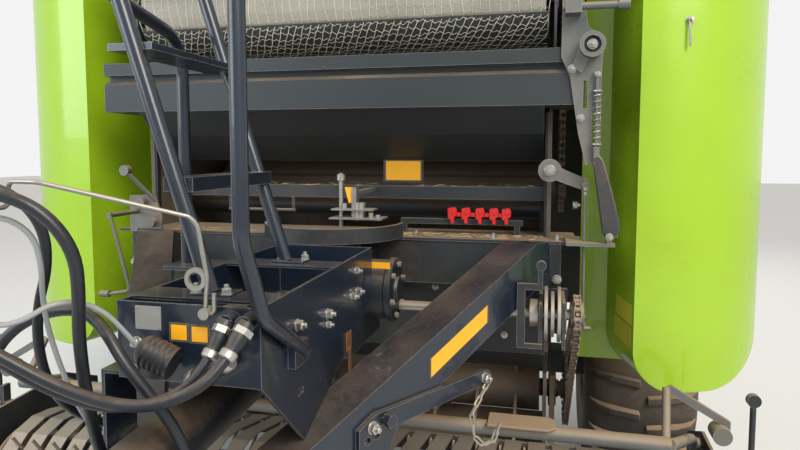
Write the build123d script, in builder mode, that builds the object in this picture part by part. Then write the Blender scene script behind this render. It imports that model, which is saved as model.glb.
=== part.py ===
"""Towed round baler with a fixed roller chamber: millimetres, +Z up, front towards -Y.

The origin lies on the ground in the middle of the machine. "Right" is +X, the side on the right
when one stands in front of the machine and looks at it.
"""
from build123d import *
import os
from math import cos, hypot, pi, radians, sin, tan

os.makedirs("parts", exist_ok=True)

# driving dimensions
GAP = 0.3  # seat between a shaft and its hole
CLEAR = 8.0  # least room between parts that pass each other

LENGTH = 4580.0  # from the eye's front to the lamps' glass

# bale chamber
CH_Y, CH_Z = 1150.0, 1530.0  # centre of the bale
ROLL_R = 110.0  # over the ribs
RIBS, RIB_H = 8, 9.0
ROLL_C = 860.0  # circle of the roller axes
WALL_IN = 612.0  # inner face of a side wall
WALL_T = 10.0
WALL_OUT = WALL_IN + WALL_T
SPLIT_Y = 1110.0  # parting plane between front half and tailgate
SPLIT_GAP = 5.0  # each half stays this far from it
FRONT_ROLLS = (102, 125, 148, 171, 194, 248)  # degrees round the chamber, from the rear
REAR_ROLLS = (276, 299, 322, 345, 8, 31, 54, 77)
RIM_R = 975.0  # outline of the chamber walls

# tailgate hinge
HINGE_Y, HINGE_Z = 1110.0, 2520.0
HINGE_PIN_R = 20.0

# wheels
AXLE_Y, AXLE_Z = 1050.0, 470.0
AXLE_H = 110.0
TRACK_X = 1005.0
TYRE_R, TYRE_W = 470.0, 440.0  # over the lugs
LUGS, LUG_H = 22, 22.0
RIM_WELL_R = 205.0
SPINDLE_R = 30.0

# rotor and pickup
ROTOR_Y, ROTOR_Z, ROTOR_R = 250.0, 620.0, 228.0
REEL_Y, REEL_Z, REEL_R = -330.0, 420.0, 248.0
REEL_X = 1010.0  # half width over the tines
BAND_R, BAND_W = 196.0, 50.0
TINE_PITCH = 70.0
TINE_ROWS = 4
PICK_X = 1045.0  # inner face of the pickup's side plates
GAUGE_R, GAUGE_W, GAUGE_X, GAUGE_Y = 140.0, 76.0, 1140.0, -60.0
GUARD_Y, GUARD_Z = -450.0, 770.0  # bar of the crop guard
GUARD_PIVOT_Y, GUARD_PIVOT_Z = -140.0, 640.0

# front frame
CROSS_FRONT, CROSS_BACK = -260.0, -190.0  # cross beam
CROSS_LOW, CROSS_TOP = 1085.0, 1205.0
SHELF_T = 8.0
BEAM_W, BEAM_H = 100.0, 120.0  # sloping drawbar beam
BEAM_IN, BEAM_OUT = (32.0, -1150.0, 765.0), (558.0, -270.0, 1163.0)  # its centre line
TONGUE_X = 55.0
TONGUE_END = -2095.0
EYE_Y, EYE_Z, EYE_R, EYE_BORE, EYE_T = -2230.0, 620.0, 60.0, 26.0, 42.0
STAND_X, STAND_Y = -105.0, -1860.0

# drive
GEAR_Y, GEAR_Z, SHAFT_R = -345.0, 1038.0, 14.0  # cross shaft out of the gearbox
PTO_Z_BACK, PTO_Z_FRONT, PTO_END = 990.0, 930.0, -1905.0
DISC_R, DISC_X = 70.0, 629.0
CHAIN_X, LOW_CHAIN_X, CHAIN_T = 662.0, 689.0, 14.0  # planes and height of the drive chains

# console and ladder
CON_L, CON_R, CON_F, CON_B = -62.0, 187.0, -1100.0, -475.0
CON_TOP, CON_LOW, CON_T = 1214.0, 1088.0, 5.0
LADDER_YS = (-1030.0, -722.0)
STRINGER_R = 14.0
RAIL_R = 12.0
RAIL_X = CON_R + 14.0
LADDER_LEAN = 0.315  # sideways run for each millimetre of height

# net box
TRAY_X = 700.0
TRAY_FRONT, LIP_TOP = -300.0, 1715.0
NET_Y, NET_Z, NET_R = -100.0, 1905.0, 150.0
LID_HINGE_Y, LID_HINGE_Z = 330.0, 2420.0
LID_X = 690.0

# side hoods
HOOD_T = 8.0
HOOD_X, HOOD_TOP, HOOD_LOW = 1235.0, 2460.0, 800.0
HOOD_FRONT, HOOD_NOSE_R = -200.0, 350.0
HOOD_IN_X = 850.0
HOOD_BACK = 1095.0
HOOD_SKIRT = 1000.0  # lower edge over the wheel
HOOD_HINGE_X, HOOD_HINGE_Z = 706.0, HOOD_TOP + 10.0
HOOD_HINGE_YS = (480.0, 820.0)
HOOD_TAB = 90.0  # height of a hinge bracket on the wall
HOOD_EDGE_R = 130.0
GATE_EDGE_R = 90.0
GATE_HOOD_FRONT = 1125.0
GATE_HOOD_IN = 668.0
GATE_STRUTS = ((1500.0, 2300.0), (1900.0, 1500.0), (1500.0, 1150.0))  # they carry the tailgate's hoods

# tailgate cylinders
CYL_X = 690.0
CYL_BASE = (890.0, 1120.0)
CYL_EYE = (1300.0, 2260.0)
CYL_R, ROD_R, CYL_EYE_R = 34.0, 19.0, 32.0
BARREL_LEN = 1060.0

# hoses and leads: diameter, then the points of the route from the exit
HOSE_A = (18.0, (
    (166, -1142, 1170), (153, -1169, 1137), (123, -1196, 1112), (73, -1216, 1097), (6, -1223, 1100),
    (-65, -1235, 1125), (-132, -1256, 1169), (-199, -1282, 1215), (-222, -1299, 1286),
    (-202, -1306, 1350), (-152, -1301, 1392), (-90, -1287, 1400), (-35, -1268, 1372), (-6, -1250, 1317),
    (-13, -1238, 1254), (-36, -1215, 1195), (-46, -1198, 1128), (-51, -1181, 1060), (-69, -1148, 1002),
    (-74, -1121, 946), (-74, -1100, 896)))
HOSE_B = (15.0, (
    (136, -1142, 1170), (126, -1167, 1133), (94, -1188, 1103), (42, -1199, 1088), (-19, -1207, 1085),
    (-83, -1220, 1108), (-140, -1242, 1150), (-200, -1256, 1196), (-248, -1267, 1249),
    (-270, -1271, 1312), (-252, -1266, 1369), (-212, -1252, 1403), (-162, -1234, 1407),
    (-119, -1216, 1382), (-97, -1202, 1337), (-105, -1192, 1279), (-131, -1186, 1220),
    (-145, -1174, 1152), (-152, -1150, 1086), (-152, -1110, 1030), (-151, -1058, 990),
    (-150, -1005, 955)))
HOSE_C = (18.0, (
    (74, -1100, 896), (74, -1122, 949), (79, -1142, 1004), (65, -1160, 1058), (35, -1172, 1104),
    (7, -1181, 1148), (-23, -1174, 1185), (-62, -1160, 1206), (-106, -1149, 1209), (-152, -1148, 1201),
    (-195, -1156, 1181), (-229, -1166, 1146), (-246, -1172, 1099), (-250, -1174, 1050)))
GREY_LEAD = (8.0, (
    (-2, -1133, 1153), (-18, -1149, 1186), (-31, -1170, 1216), (-47, -1199, 1236), (-71, -1226, 1238),
    (-94, -1246, 1219), (-129, -1257, 1209), (-163, -1261, 1227), (-177, -1267, 1268),
    (-179, -1273, 1314), (-152, -1275, 1354), (-107, -1266, 1367), (-72, -1249, 1340),
    (-76, -1233, 1293), (-98, -1211, 1248), (-112, -1190, 1195), (-112, -1171, 1134),
    (-112, -1147, 1074), (-118, -1113, 1020), (-124, -1079, 976), (-129, -1048, 944),
    (-132, -1024, 914)))
COIL_X, COIL_Y, COIL_LOW, COIL_TOP = 75.0, -870.0, 1093.5, 1160.0  # coil of the control lead
COIL_OUT, COIL_IN = (94.0, 116.0), (46.0, 68.0)
LEAD_R = 4.5


# helpers
def box(x0, x1, y0, y1, z0, z1, mode=Mode.ADD):
    """A block between two corners."""
    with Locations(((x0 + x1) / 2, (y0 + y1) / 2, (z0 + z1) / 2)):
        Box(abs(x1 - x0), abs(y1 - y0), abs(z1 - z0), mode=mode)


def rod_x(x0, x1, y, z, r, mode=Mode.ADD):
    """A cylinder along X."""
    with Locations(Location(((x0 + x1) / 2, y, z), (0, 90, 0))):
        Cylinder(r, abs(x1 - x0), mode=mode)


def rod_y(y0, y1, x, z, r, mode=Mode.ADD):
    """A cylinder along Y."""
    with Locations(Location((x, (y0 + y1) / 2, z), (90, 0, 0))):
        Cylinder(r, abs(y1 - y0), mode=mode)


def rod_z(z0, z1, x, y, r, mode=Mode.ADD):
    """A cylinder along Z."""
    with Locations((x, y, (z0 + z1) / 2)):
        Cylinder(r, abs(z1 - z0), mode=mode)


def plate_x(x0, x1, points, mode=Mode.ADD):
    """A plate across X, from its outline in (Y, Z)."""
    with BuildSketch(Plane.YZ.offset(x0)) as outline:
        with BuildLine():
            Polyline(*points, close=True)
        make_face()
    extrude(outline.sketch, amount=x1 - x0, mode=mode)


def plate_y(y0, y1, points, mode=Mode.ADD):
    """A plate across Y, from its outline in (X, Z)."""
    with BuildSketch(Plane.XZ.offset(-y0)) as outline:
        with BuildLine():
            Polyline(*points, close=True)
        make_face()
    extrude(outline.sketch, amount=-(y1 - y0), mode=mode)


def plate_z(z0, z1, points, mode=Mode.ADD):
    """A plate across Z, from its outline in (X, Y)."""
    with BuildSketch(Plane.XY.offset(z0)) as outline:
        with BuildLine():
            Polyline(*points, close=True)
        make_face()
    extrude(outline.sketch, amount=z1 - z0, mode=mode)


def bar(a, b, r, mode=Mode.ADD):
    """A round bar from point a to point b."""
    a, b = Vector(*a), Vector(*b)
    with BuildSketch(Plane(origin=a, z_dir=b - a)) as section:
        Circle(r)
    extrude(section.sketch, amount=(b - a).length, mode=mode)


def bent_tube(points, r, bends):
    """A round tube along a route of points, with one bend radius for each corner."""
    with BuildLine() as route:
        if len(points) == 2:
            Line(*points)
        else:
            FilletPolyline(*points, radius=bends)
    with BuildSketch(Plane(origin=route.line @ 0, z_dir=route.line % 0)) as section:
        Circle(r)
    sweep(section.sketch, path=route.line)


def cord(name, size):
    """A hose or lead along its route, each corner rounded as far as its two runs allow."""
    diameter, points = size
    stops = [Vector(*p) for p in points]
    bends = []
    for a, b, c in zip(stops, stops[1:], stops[2:]):
        run = min((b - a).length, (c - b).length)
        bends.append(0.45 * run / tan(radians((b - a).get_angle(c - b)) / 2))
    with BuildPart() as tube:
        with BuildLine() as route:
            FilletPolyline(*points, radius=bends)
        with BuildSketch(Plane(origin=stops[0], z_dir=stops[1] - stops[0])) as section:
            Circle(diameter / 2)
        sweep(section.sketch, path=route.line)
    length = sum(e.length for e in route.edges())
    share = tube.part.volume / (pi * diameter**2 / 4 * length)
    print(name, "length", round(length), "share", round(share, 3), "radii", [round(r) for r in bends])
    save(tube, name)


def gland(points, back, r):
    """A fitting at the last of two route points, in line with the run that ends there."""
    before, end = Vector(*points[0]), Vector(*points[1])
    bar(end, end + (end - before).normalized() * back, r)


def on_circle(centre_y, centre_z, radius, angle):
    """A point (Y, Z) on a circle, with the angle in degrees from +Y towards +Z."""
    return centre_y + radius * cos(radians(angle)), centre_z + radius * sin(radians(angle))


def save(builder, name):
    """Label a finished piece and write its file."""
    builder.part.label = name
    export_step(builder.part, f"parts/{name}.step")


SIDES = (("right", 1), ("left", -1))

# chamber, front half
wall_outline = (
    (SPLIT_Y - SPLIT_GAP, 525), (720, 525), (430, 350), (80, 350), (0, 500), (0, 760), (-100, 860),
    (-100, 1000), (CROSS_BACK, 1040), (CROSS_BACK, 1560), (-60, 1640), (-60, 2080), (300, 2380), (560, 2500),
    (SPLIT_Y - SPLIT_GAP, 2500),
)
with BuildPart() as side_walls:
    for s in (1, -1):
        plate_x(s * WALL_IN, s * WALL_OUT, wall_outline)
        rod_x(s * 600, s * 640, HINGE_Y, HINGE_Z, 60, Mode.SUBTRACT)
        box(s * WALL_OUT, s * 650, 990, SPLIT_Y - SPLIT_GAP, 525, 700)
        box(s * WALL_OUT, s * 650, CROSS_BACK, 0, 1040, 1100)
        for a in FRONT_ROLLS:  # roller bearings
            y, z = on_circle(CH_Y, CH_Z, ROLL_C, a)
            rod_x(s * WALL_OUT, s * 640, y, z, 55)
        rod_x(s * WALL_OUT, s * (CYL_X - 40), *CYL_BASE, 45)  # lower cylinder pins
        rod_x(s * WALL_OUT, s * (CYL_X + 24), *CYL_BASE, 15)
        rod_x(s * WALL_OUT, s * 664, ROTOR_Y, ROTOR_Z, 30)  # pickup pivots
    arcs = []
    for r in (ROTOR_R + 17, ROTOR_R + 22):
        arcs.append([on_circle(ROTOR_Y, ROTOR_Z, r, a) for a in range(206, 331, 14)])
    plate_x(-WALL_IN, WALL_IN, arcs[0] + arcs[1][::-1])  # pan under the rotor
save(side_walls, "side_walls")


def chamber_roller(angle):
    """A ribbed roller of the chamber between the side walls, in the open part."""
    y, z = on_circle(CH_Y, CH_Z, ROLL_C, angle)
    rod_x(-600, 600, y, z, ROLL_R - RIB_H)
    rod_x(-WALL_IN, WALL_IN, y, z, 30)
    for k in range(RIBS):
        a = 360 / RIBS * k + angle
        low = [on_circle(y, z, ROLL_R - RIB_H - 3, a + e) for e in (-9, 9)]
        high = [on_circle(y, z, ROLL_R, a + e) for e in (4, -4)]
        plate_x(-600, 600, (*low, *high))


with BuildPart() as front_rollers:
    for angle in FRONT_ROLLS:
        chamber_roller(angle)
save(front_rollers, "front_rollers")

with BuildPart() as top_frame:
    box(-WALL_IN, WALL_IN, 700, 780, HINGE_Z - 120, HINGE_Z - 40)
    for s in (1, -1):
        plate_x(s * WALL_OUT, s * 650, (
            (940, HINGE_Z - 82), (1040, HINGE_Z - 82), (1040, HINGE_Z - 20), (940, HINGE_Z - 20)))
        plate_x(s * 630, s * 650, (
            (980, HINGE_Z - 50), (1040, HINGE_Z - 80), (HINGE_Y + 30, HINGE_Z - 20), (HINGE_Y + 30, HINGE_Z + 25),
            (HINGE_Y - 20, HINGE_Z + 40)))
        rod_x(s * 630, s * 650, HINGE_Y, HINGE_Z, 42)
        rod_x(s * 606, s * 656, HINGE_Y, HINGE_Z, HINGE_PIN_R)
    # roof sheet
    plate_x(-WALL_OUT, WALL_OUT, (
        (352, 2406), (562, 2502), (1030, 2502), (1030, 2508), (560, 2508), (350, 2412)))
    for s in (1, -1):  # hinge tabs of the net lid
        rod_x(s * 555, s * 608, LID_HINGE_Y, LID_HINGE_Z, 5)
        plate_x(s * 602, s * 608, (
            (LID_HINGE_Y - 8, LID_HINGE_Z), (356, 2408), (380, 2421), (LID_HINGE_Y + 6, LID_HINGE_Z + 10)))
    # hinge brackets of the side hoods
    for s in (1, -1):
        for y in HOOD_HINGE_YS:
            rod_y(y - 60, y + 60, s * HOOD_HINGE_X, HOOD_HINGE_Z, 6)
            for e in (-52, 52):
                box(s * WALL_OUT, s * (HOOD_HINGE_X + 5), y + e - 4, y + e + 4, HOOD_HINGE_Z - HOOD_TAB,
                    HOOD_HINGE_Z + 8)
save(top_frame, "top_frame")

# axle and wheels
with BuildPart() as axle:
    box(-860, 860, AXLE_Y - AXLE_H / 2, AXLE_Y + AXLE_H / 2, AXLE_Z - AXLE_H / 2, AXLE_Z + AXLE_H / 2)
    for s in (1, -1):
        rod_x(s * 860, s * 1120, AXLE_Y, AXLE_Z, SPINDLE_R)
        rod_x(s * 860, s * 880, AXLE_Y, AXLE_Z, 52)
save(axle, "axle")

tyre_section = (
    (RIM_WELL_R + 14, -190), (RIM_WELL_R + 18, -205), (300, -TYRE_W / 2), (375, -TYRE_W / 2), (428, -190),
    (TYRE_R - LUG_H, -110), (TYRE_R - LUG_H, 110), (428, 190), (375, TYRE_W / 2), (300, TYRE_W / 2),
    (RIM_WELL_R + 18, 205), (RIM_WELL_R + 14, 190),
)
with BuildPart() as tyre:
    with BuildSketch(Plane.YX) as section:
        with BuildLine():
            Polyline(*tyre_section, close=True)
        make_face()
    revolve(axis=Axis.X, revolution_arc=360)
    for k in range(LUGS):
        for e, half in ((-1, 0.0), (1, 0.5)):
            a = radians(360 / LUGS * (k + half))
            out = Vector(0, -sin(a), cos(a))
            with BuildSketch(Plane(origin=out * (TYRE_R - LUG_H - 12), x_dir=(1, 0, 0), z_dir=out)) as lug:
                with BuildLine():
                    Polyline((e * 14, -22), (e * 205, 12), (e * 205, 44), (e * 14, 14), close=True)
                make_face()
            extrude(lug.sketch, amount=LUG_H + 12)
    with BuildSketch(Plane.YX) as crown:
        for e in (-1, 1):
            with BuildLine():
                Polyline((TYRE_R, e * 130), (TYRE_R + 60, e * 130), (TYRE_R + 60, e * 240),
                         (TYRE_R - 75, e * 240), (TYRE_R - 66, e * 212), (TYRE_R - 22, e * 190), close=True)
            make_face()
    revolve(crown.sketch, axis=Axis.X, revolution_arc=360, mode=Mode.SUBTRACT)
    with BuildSketch(Plane.YZ) as roof_cut:
        Circle(TYRE_R + 60)
        Circle(TYRE_R, mode=Mode.SUBTRACT)
    extrude(roof_cut.sketch, amount=TYRE_W, both=True, mode=Mode.SUBTRACT)

rim_section = (
    (SPINDLE_R + GAP, -80), (75, -80), (75, 30), (150, 60), (RIM_WELL_R - 8, 60), (RIM_WELL_R - 8, -190),
    (RIM_WELL_R + 13, -190), (RIM_WELL_R + 13, 190), (RIM_WELL_R - 8, 190), (RIM_WELL_R - 8, 68),
    (150, 68), (75, 90), (75, 140), (SPINDLE_R + GAP, 140),
)
with BuildPart() as rim:
    with BuildSketch(Plane.YX):
        with BuildLine():
            Polyline(*rim_section, close=True)
        make_face()
    revolve(axis=Axis.X, revolution_arc=360)

for side, s in SIDES:
    for name, built in (("tyre", tyre.part), ("rim", rim.part)):
        placed = Pos(s * TRACK_X, AXLE_Y, AXLE_Z) * (built if s > 0 else built.mirror(Plane.YZ))
        placed.label = f"{name}_{side}"
        export_step(placed, f"parts/{name}_{side}.step")

# front frame and drawbar
with BuildPart() as cross_beam:
    box(-WALL_OUT - 28, WALL_OUT + 28, CROSS_FRONT, CROSS_BACK, CROSS_LOW, CROSS_TOP)
    box(-690, 690, CROSS_FRONT - 5, -60, CROSS_TOP, CROSS_TOP + SHELF_T)
    box(-WALL_IN + GAP, WALL_IN - GAP, -192, -184, 880, CROSS_TOP)
    plate_x(-WALL_IN + GAP, WALL_IN - GAP, ((-192, 880), (-184, 884), (-60, 803), (-60, 795)))
    for s in (1, -1):
        box(s * (WALL_IN - GAP), s * (WALL_OUT + GAP), CROSS_BACK - GAP, 0, CROSS_TOP - 2, CROSS_TOP + SHELF_T + 2,
            Mode.SUBTRACT)
save(cross_beam, "cross_beam")

with BuildPart() as tongue:
    plate_x(-TONGUE_X, TONGUE_X, (
        (-960, 892), (-1250, 800), (TONGUE_END, 680), (TONGUE_END, 560), (-1250, 650), (-960, 772)))
    plate_x(-8, 8, ((-1780, 718), (-1700, 728), (-1740, 886), (-1775, 886)))  # rest of the drive shaft
    box(-48, 48, -1785, -1735, 880, 887)
save(tongue, "tongue")

beam_run = hypot(BEAM_OUT[0] - BEAM_IN[0], BEAM_OUT[1] - BEAM_IN[1])
with BuildPart() as drawbar_beams:
    along = Vector(BEAM_OUT[0] - BEAM_IN[0], BEAM_OUT[1] - BEAM_IN[1], 0).normalized()
    across = along.cross(Vector(0, 0, 1))
    rise = (BEAM_OUT[2] - BEAM_IN[2]) / beam_run
    with BuildSketch(Plane(origin=Vector(*BEAM_IN) - across * BEAM_W / 2, x_dir=along, z_dir=across)):
        with BuildLine():
            Polyline((-150, -150 * rise - 60), (beam_run + 60, (beam_run + 60) * rise - 60),
                     (beam_run + 60, (beam_run + 60) * rise + 60), (-150, -150 * rise + 60), close=True)
        make_face()
    extrude(amount=BEAM_W)
    box(-300, TONGUE_X, -1500, -900, 400, 1000, Mode.SUBTRACT)
    box(300, 900, CROSS_FRONT, 200, 900, 1500, Mode.SUBTRACT)
    box(0, 900, -600, 0, CROSS_TOP + SHELF_T, 1500, Mode.SUBTRACT)
    box(300, 900, CROSS_FRONT - 6, CROSS_FRONT + 50, CROSS_TOP, 1500, Mode.SUBTRACT)
    face = Plane(origin=Vector(BEAM_IN[0], BEAM_IN[1], 0) + across * BEAM_W / 2, x_dir=along, z_dir=across)
    with BuildSketch(face) as strap:  # hole plate on the outer face
        with BuildLine():
            Polyline((366, 852), (366, 925), (410, 945), (775, 940), (790, 925), (775, 908), (470, 905),
                     (440, 852), close=True)
        make_face()
        with Locations((400, 922), (424, 926), (388, 898), (412, 902), (762, 924)):
            Circle(8, mode=Mode.SUBTRACT)
    extrude(strap.sketch, amount=10)
    with BuildSketch(face) as boss:
        with Locations((440, 926)):
            RegularPolygon(14, 6)
    extrude(boss.sketch, amount=26)
    mirror(about=Plane.YZ)
    for route, back, r in ((HOSE_A[1][-2:], 56, 13), (HOSE_B[1][-2:], 66, 12), (GREY_LEAD[1][-2:], 40, 8),
                           (HOSE_C[1][1::-1], 56, 13)):
        gland(route, back, r)
save(drawbar_beams, "drawbar_beams")

with BuildPart() as hitch_eye:
    rod_z(EYE_Z - EYE_T / 2, EYE_Z + EYE_T / 2, 0, EYE_Y, EYE_R)
    box(-38, 38, EYE_Y + 40, TONGUE_END - 20, EYE_Z - 21, EYE_Z + 21)
    box(-TONGUE_X, TONGUE_X, TONGUE_END - 20, TONGUE_END, 560, 680)
    rod_z(EYE_Z - 40, EYE_Z + 40, 0, EYE_Y, EYE_BORE, Mode.SUBTRACT)
save(hitch_eye, "hitch_eye")

with BuildPart() as parking_stand:
    box(-TONGUE_X - 20, -TONGUE_X, STAND_Y - 45, STAND_Y + 45, 610, 700)
    rod_z(300, 860, STAND_X, STAND_Y, 35)
    rod_z(10, 300, STAND_X, STAND_Y, 28)
    box(STAND_X - 90, STAND_X + 90, STAND_Y - 80, STAND_Y + 80, 0, 10)
    rod_z(860, 875, STAND_X, STAND_Y, 20)
    rod_x(STAND_X - 110, STAND_X, STAND_Y, 850, 8)
save(parking_stand, "parking_stand")

# drive
with BuildPart() as gearbox:
    box(-150, 150, -540, CROSS_FRONT, 950, 1078)
    box(-150, 150, -462, CROSS_FRONT, 1070, 1180)
    rod_x(150, 230, GEAR_Y - 40, 1090, 78)
    rod_y(-600, -540, 0, PTO_Z_BACK, 64)
save(gearbox, "gearbox")

with BuildPart() as cross_shaft:
    rod_x(230, 700, GEAR_Y, GEAR_Z, SHAFT_R)
    for x, r in ((DISC_X - 16, DISC_R), (DISC_X, DISC_R - 12), (DISC_X + 16, DISC_R)):
        rod_x(x - 4, x + 4, GEAR_Y, GEAR_Z, r)
    rod_x(573, 593, GEAR_Y, GEAR_Z, 36)
save(cross_shaft, "cross_shaft")


def chain_loop(x0, x1, stations):
    """A chain round (y, z, radius) stations, with its sprockets."""
    for grow, way in ((0, Mode.ADD), (-CHAIN_T, Mode.SUBTRACT)):
        with BuildSketch(Plane.YZ.offset(x0 + min(grow, 0) / CHAIN_T)) as loop:
            for y, z, r in stations:
                with Locations((y, z)):
                    Circle(r + grow)
            make_hull()
        extrude(loop.sketch, amount=x1 - x0 - 2 * min(grow, 0) / CHAIN_T, mode=way)
    for y, z, r in stations:
        rod_x((x0 + x1) / 2 - 3, (x0 + x1) / 2 + 3, y, z, r - CHAIN_T + 4)


with BuildPart() as drive_chains:
    chain_loop(LOW_CHAIN_X - 7, LOW_CHAIN_X + 7, ((GEAR_Y, GEAR_Z, 52), (ROTOR_Y, ROTOR_Z, 120)))
    rod_x(664, LOW_CHAIN_X, ROTOR_Y, ROTOR_Z, 26)
    rod_x(LOW_CHAIN_X - 10, LOW_CHAIN_X + 10, GEAR_Y, GEAR_Z, SHAFT_R, Mode.SUBTRACT)
    upper = [(*on_circle(CH_Y, CH_Z, ROLL_C, a), 84) for a in FRONT_ROLLS[1:5]]
    chain_loop(CHAIN_X - 8, CHAIN_X + 8, upper)
    for y, z, r in upper:
        rod_x(WALL_OUT + 18, CHAIN_X, y, z, 24)
save(drive_chains, "drive_chains")

with BuildPart() as pto_shaft:
    rod_y(-626, -600, 0, PTO_Z_BACK, 57)
    bar((0, -610, PTO_Z_BACK), (0, -1240, 958), 52)
    bar((0, -1235, 958), (0, PTO_END + 60, PTO_Z_FRONT), 40)
    bar((0, PTO_END + 60, PTO_Z_FRONT), (0, PTO_END, PTO_Z_FRONT - 4), 58)
save(pto_shaft, "pto_shaft")

# console, ladder, handrails
with BuildPart() as console:
    box(CON_L, CON_R, CON_F, CON_B, CON_LOW, CON_TOP)
    box(CON_L + CON_T, CON_R - CON_T, CON_F + CON_T, CON_B - CON_T, CON_LOW + CON_T, CON_TOP + 5, Mode.SUBTRACT)
    plate_x(CON_R - CON_T, CON_R, (
        (CON_F, CON_LOW), (-930, 930), (-793, 976.5), (-700, 1010), (-560, 1060), (CON_B, CON_LOW)))
    for y in LADDER_YS:  # seats of the ladder's feet
        box(CON_L, CON_R, y - 34, y + 34, CON_TOP - CON_T, CON_TOP)
    box(-200, CON_L, -770, -670, 1196, 1204)
    plate_x(-104, -98, ((-1090, 860), (-1010, 886.5), (-1010, CON_LOW), (-1090, CON_LOW)))
    box(-104, CON_L + 4, -1090, -1010, CON_LOW, CON_LOW + 6)
    for route in (HOSE_A[1], HOSE_B[1]):  # elbows of the two front hoses
        x, y, z = route[0]
        gland(route[1::-1], 36, 11)
        rod_y(CON_F - 26, CON_F, x + 5, z + 25, 13)
    for y, z in ((-945, 1026), (-858, 940)):
        box(CON_R - 2 * CON_T, CON_R + CON_T, y - 12, y + 12, z - 5, z + 5, Mode.SUBTRACT)
    rod_x(CON_L, COIL_X - COIL_OUT[0] - GAP, COIL_Y, COIL_LOW + 20, 9)  # gland of the control lead
save(console, "console")


def on_stringer(y, z):
    """A point on the leaning ladder."""
    return -36 - (z - 1530) * LADDER_LEAN, y, z


with BuildPart() as ladder:
    for y in LADDER_YS:
        bent_tube([(65, y, 1219), on_stringer(y, 1950), (-250, y, 2030)], STRINGER_R, [90])
        box(40, 110, y - 22, y + 22, CON_TOP, CON_TOP + 6)
    box(-20, 35, -1028, -724, 1384, 1409)
    box(-118, -34, -1028, -724, 1620, 1632)
    bar((-250, -1044, 2030), (-250, -708, 2030), STRINGER_R)
save(ladder, "ladder")

with BuildPart() as handrails:
    bent_tube([(RAIL_X, -960, 1106), (RAIL_X, -1120, 1206), (RAIL_X, -1183, 1330), (RAIL_X, -1183, 2030),
               (-60, -1183, 2030), (-236, -1066, 2030)], RAIL_R, [70, 70, 90, 90])
    box(CON_R, RAIL_X, -1000, -945, 1086, 1126)
    bent_tube([(-170, -722, 1204), (-170, -722, 1690), (-128, -1000, 1720)], 13, [90])
save(handrails, "handrails")

# net box
tray_profile = (
    (TRAY_FRONT, 1571), (TRAY_FRONT, 1652), (-286, 1662), (-276, 1662), (-276, 1679), (TRAY_FRONT, 1679),
    (TRAY_FRONT, LIP_TOP), (-296, LIP_TOP), (-296, 1684), (-200, 1684), (20, 1640), (20, 1600), (-100, 1571),
)
with BuildPart() as net_tray:
    plate_x(-TRAY_X, TRAY_X, tray_profile)
    for s in (1, -1):
        box(s * WALL_IN, s * WALL_OUT, CROSS_BACK - 2, 100, 1500, 1800, Mode.SUBTRACT)
        plate_x(s * 622, s * 628, ((-240, 1680), (-60, 1650), (-60, 1800), (-40, 2060), (-160, 2060), (-240, 1900)))
    plate_x(-600, 600, ((-280, 1573), (-60, 1573), (-60, 1500), (-80, 1425), (-200, 1500)))
save(net_tray, "net_tray")

with BuildPart() as net_roll:
    rod_x(-600, 600, NET_Y, NET_Z, NET_R)
    rod_x(-622, 622, NET_Y, NET_Z, 30)
save(net_roll, "net_roll")

with BuildPart() as net_lid:
    lid_profile = (
        (LID_HINGE_Y - 6, LID_HINGE_Z - 12), (-60, 2180), (-255, 2060), (-310, 1960), (-318, 1962), (-261, 2066),
        (-63, 2187), (LID_HINGE_Y - 9, LID_HINGE_Z - 5),
    )
    plate_x(-LID_X, LID_X, lid_profile)
    for s in (1, -1):
        plate_x(s * LID_X, s * (LID_X - 6), (
            (LID_HINGE_Y - 6, LID_HINGE_Z - 12), (-60, 2180), (-255, 2060), (-310, 1960), (-250, 1960), (0, 2090),
            (260, 2290)))
        rod_x(s * 560, s * 596, LID_HINGE_Y, LID_HINGE_Z, 10)
        rod_x(s * 559, s * 597, LID_HINGE_Y, LID_HINGE_Z, 5 + GAP, Mode.SUBTRACT)
save(net_lid, "net_lid")

with BuildPart() as net_feed:
    rod_x(-WALL_IN, WALL_IN, 20, 1276, 34)
    box(-WALL_IN, WALL_IN, -100, -62, 1309, 1347)
    rod_x(-400, -170, -100, 1265, 6)
    for x in (-396, -176):
        box(x - 4, x + 4, -104, -96, 1265, 1309)
save(net_feed, "net_feed")

with BuildPart() as arc_guard:
    with BuildSketch(Plane.XY.offset(CROSS_TOP + SHELF_T)):
        with Locations((20, -262)):
            Circle(200)
            Circle(192, mode=Mode.SUBTRACT)
        with Locations((20, -62)):
            Rectangle(500, 400, mode=Mode.SUBTRACT)
    extrude(amount=40)
    with BuildSketch(Plane.XY.offset(CROSS_TOP + SHELF_T)):
        with Locations((20, -262)):
            Circle(200)
        with Locations((20, -62)):
            Rectangle(500, 400, mode=Mode.SUBTRACT)
    extrude(amount=5)
    box(190, 545, -160, -150, 1240, 1256)
    for x in (200, 530):
        box(x - 8, x + 8, -160, -150, CROSS_TOP + SHELF_T, 1240)
save(arc_guard, "arc_guard")

with BuildPart() as red_clips:
    for x in (345, 385, 425, 465, 500):
        box(x - 13, x + 13, -176, -160, 1244, 1292)
save(red_clips, "red_clips")

with BuildPart() as pulley_bracket:
    box(596, 668, CROSS_FRONT, CROSS_FRONT + 20, 962, CROSS_LOW)
    box(596, 604, -400, CROSS_FRONT + 10, 962, 1075)
    box(652, 660, -400, CROSS_FRONT + 10, 962, 1080)
    plate_y(-404, -396, ((542, 962), (604, 962), (604, 974), (562, 974), (562, 1110), (604, 1110), (604, 1126),
                         (542, 1126)))  # open channel in front of the discs
    box(592, 604, -404, -396, 1120, 1180)
    rod_y(-412, -396, 600, 1172, 12)
    rod_x(590, 670, GEAR_Y, GEAR_Z, SHAFT_R + GAP, Mode.SUBTRACT)
save(pulley_bracket, "pulley_bracket")

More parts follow.
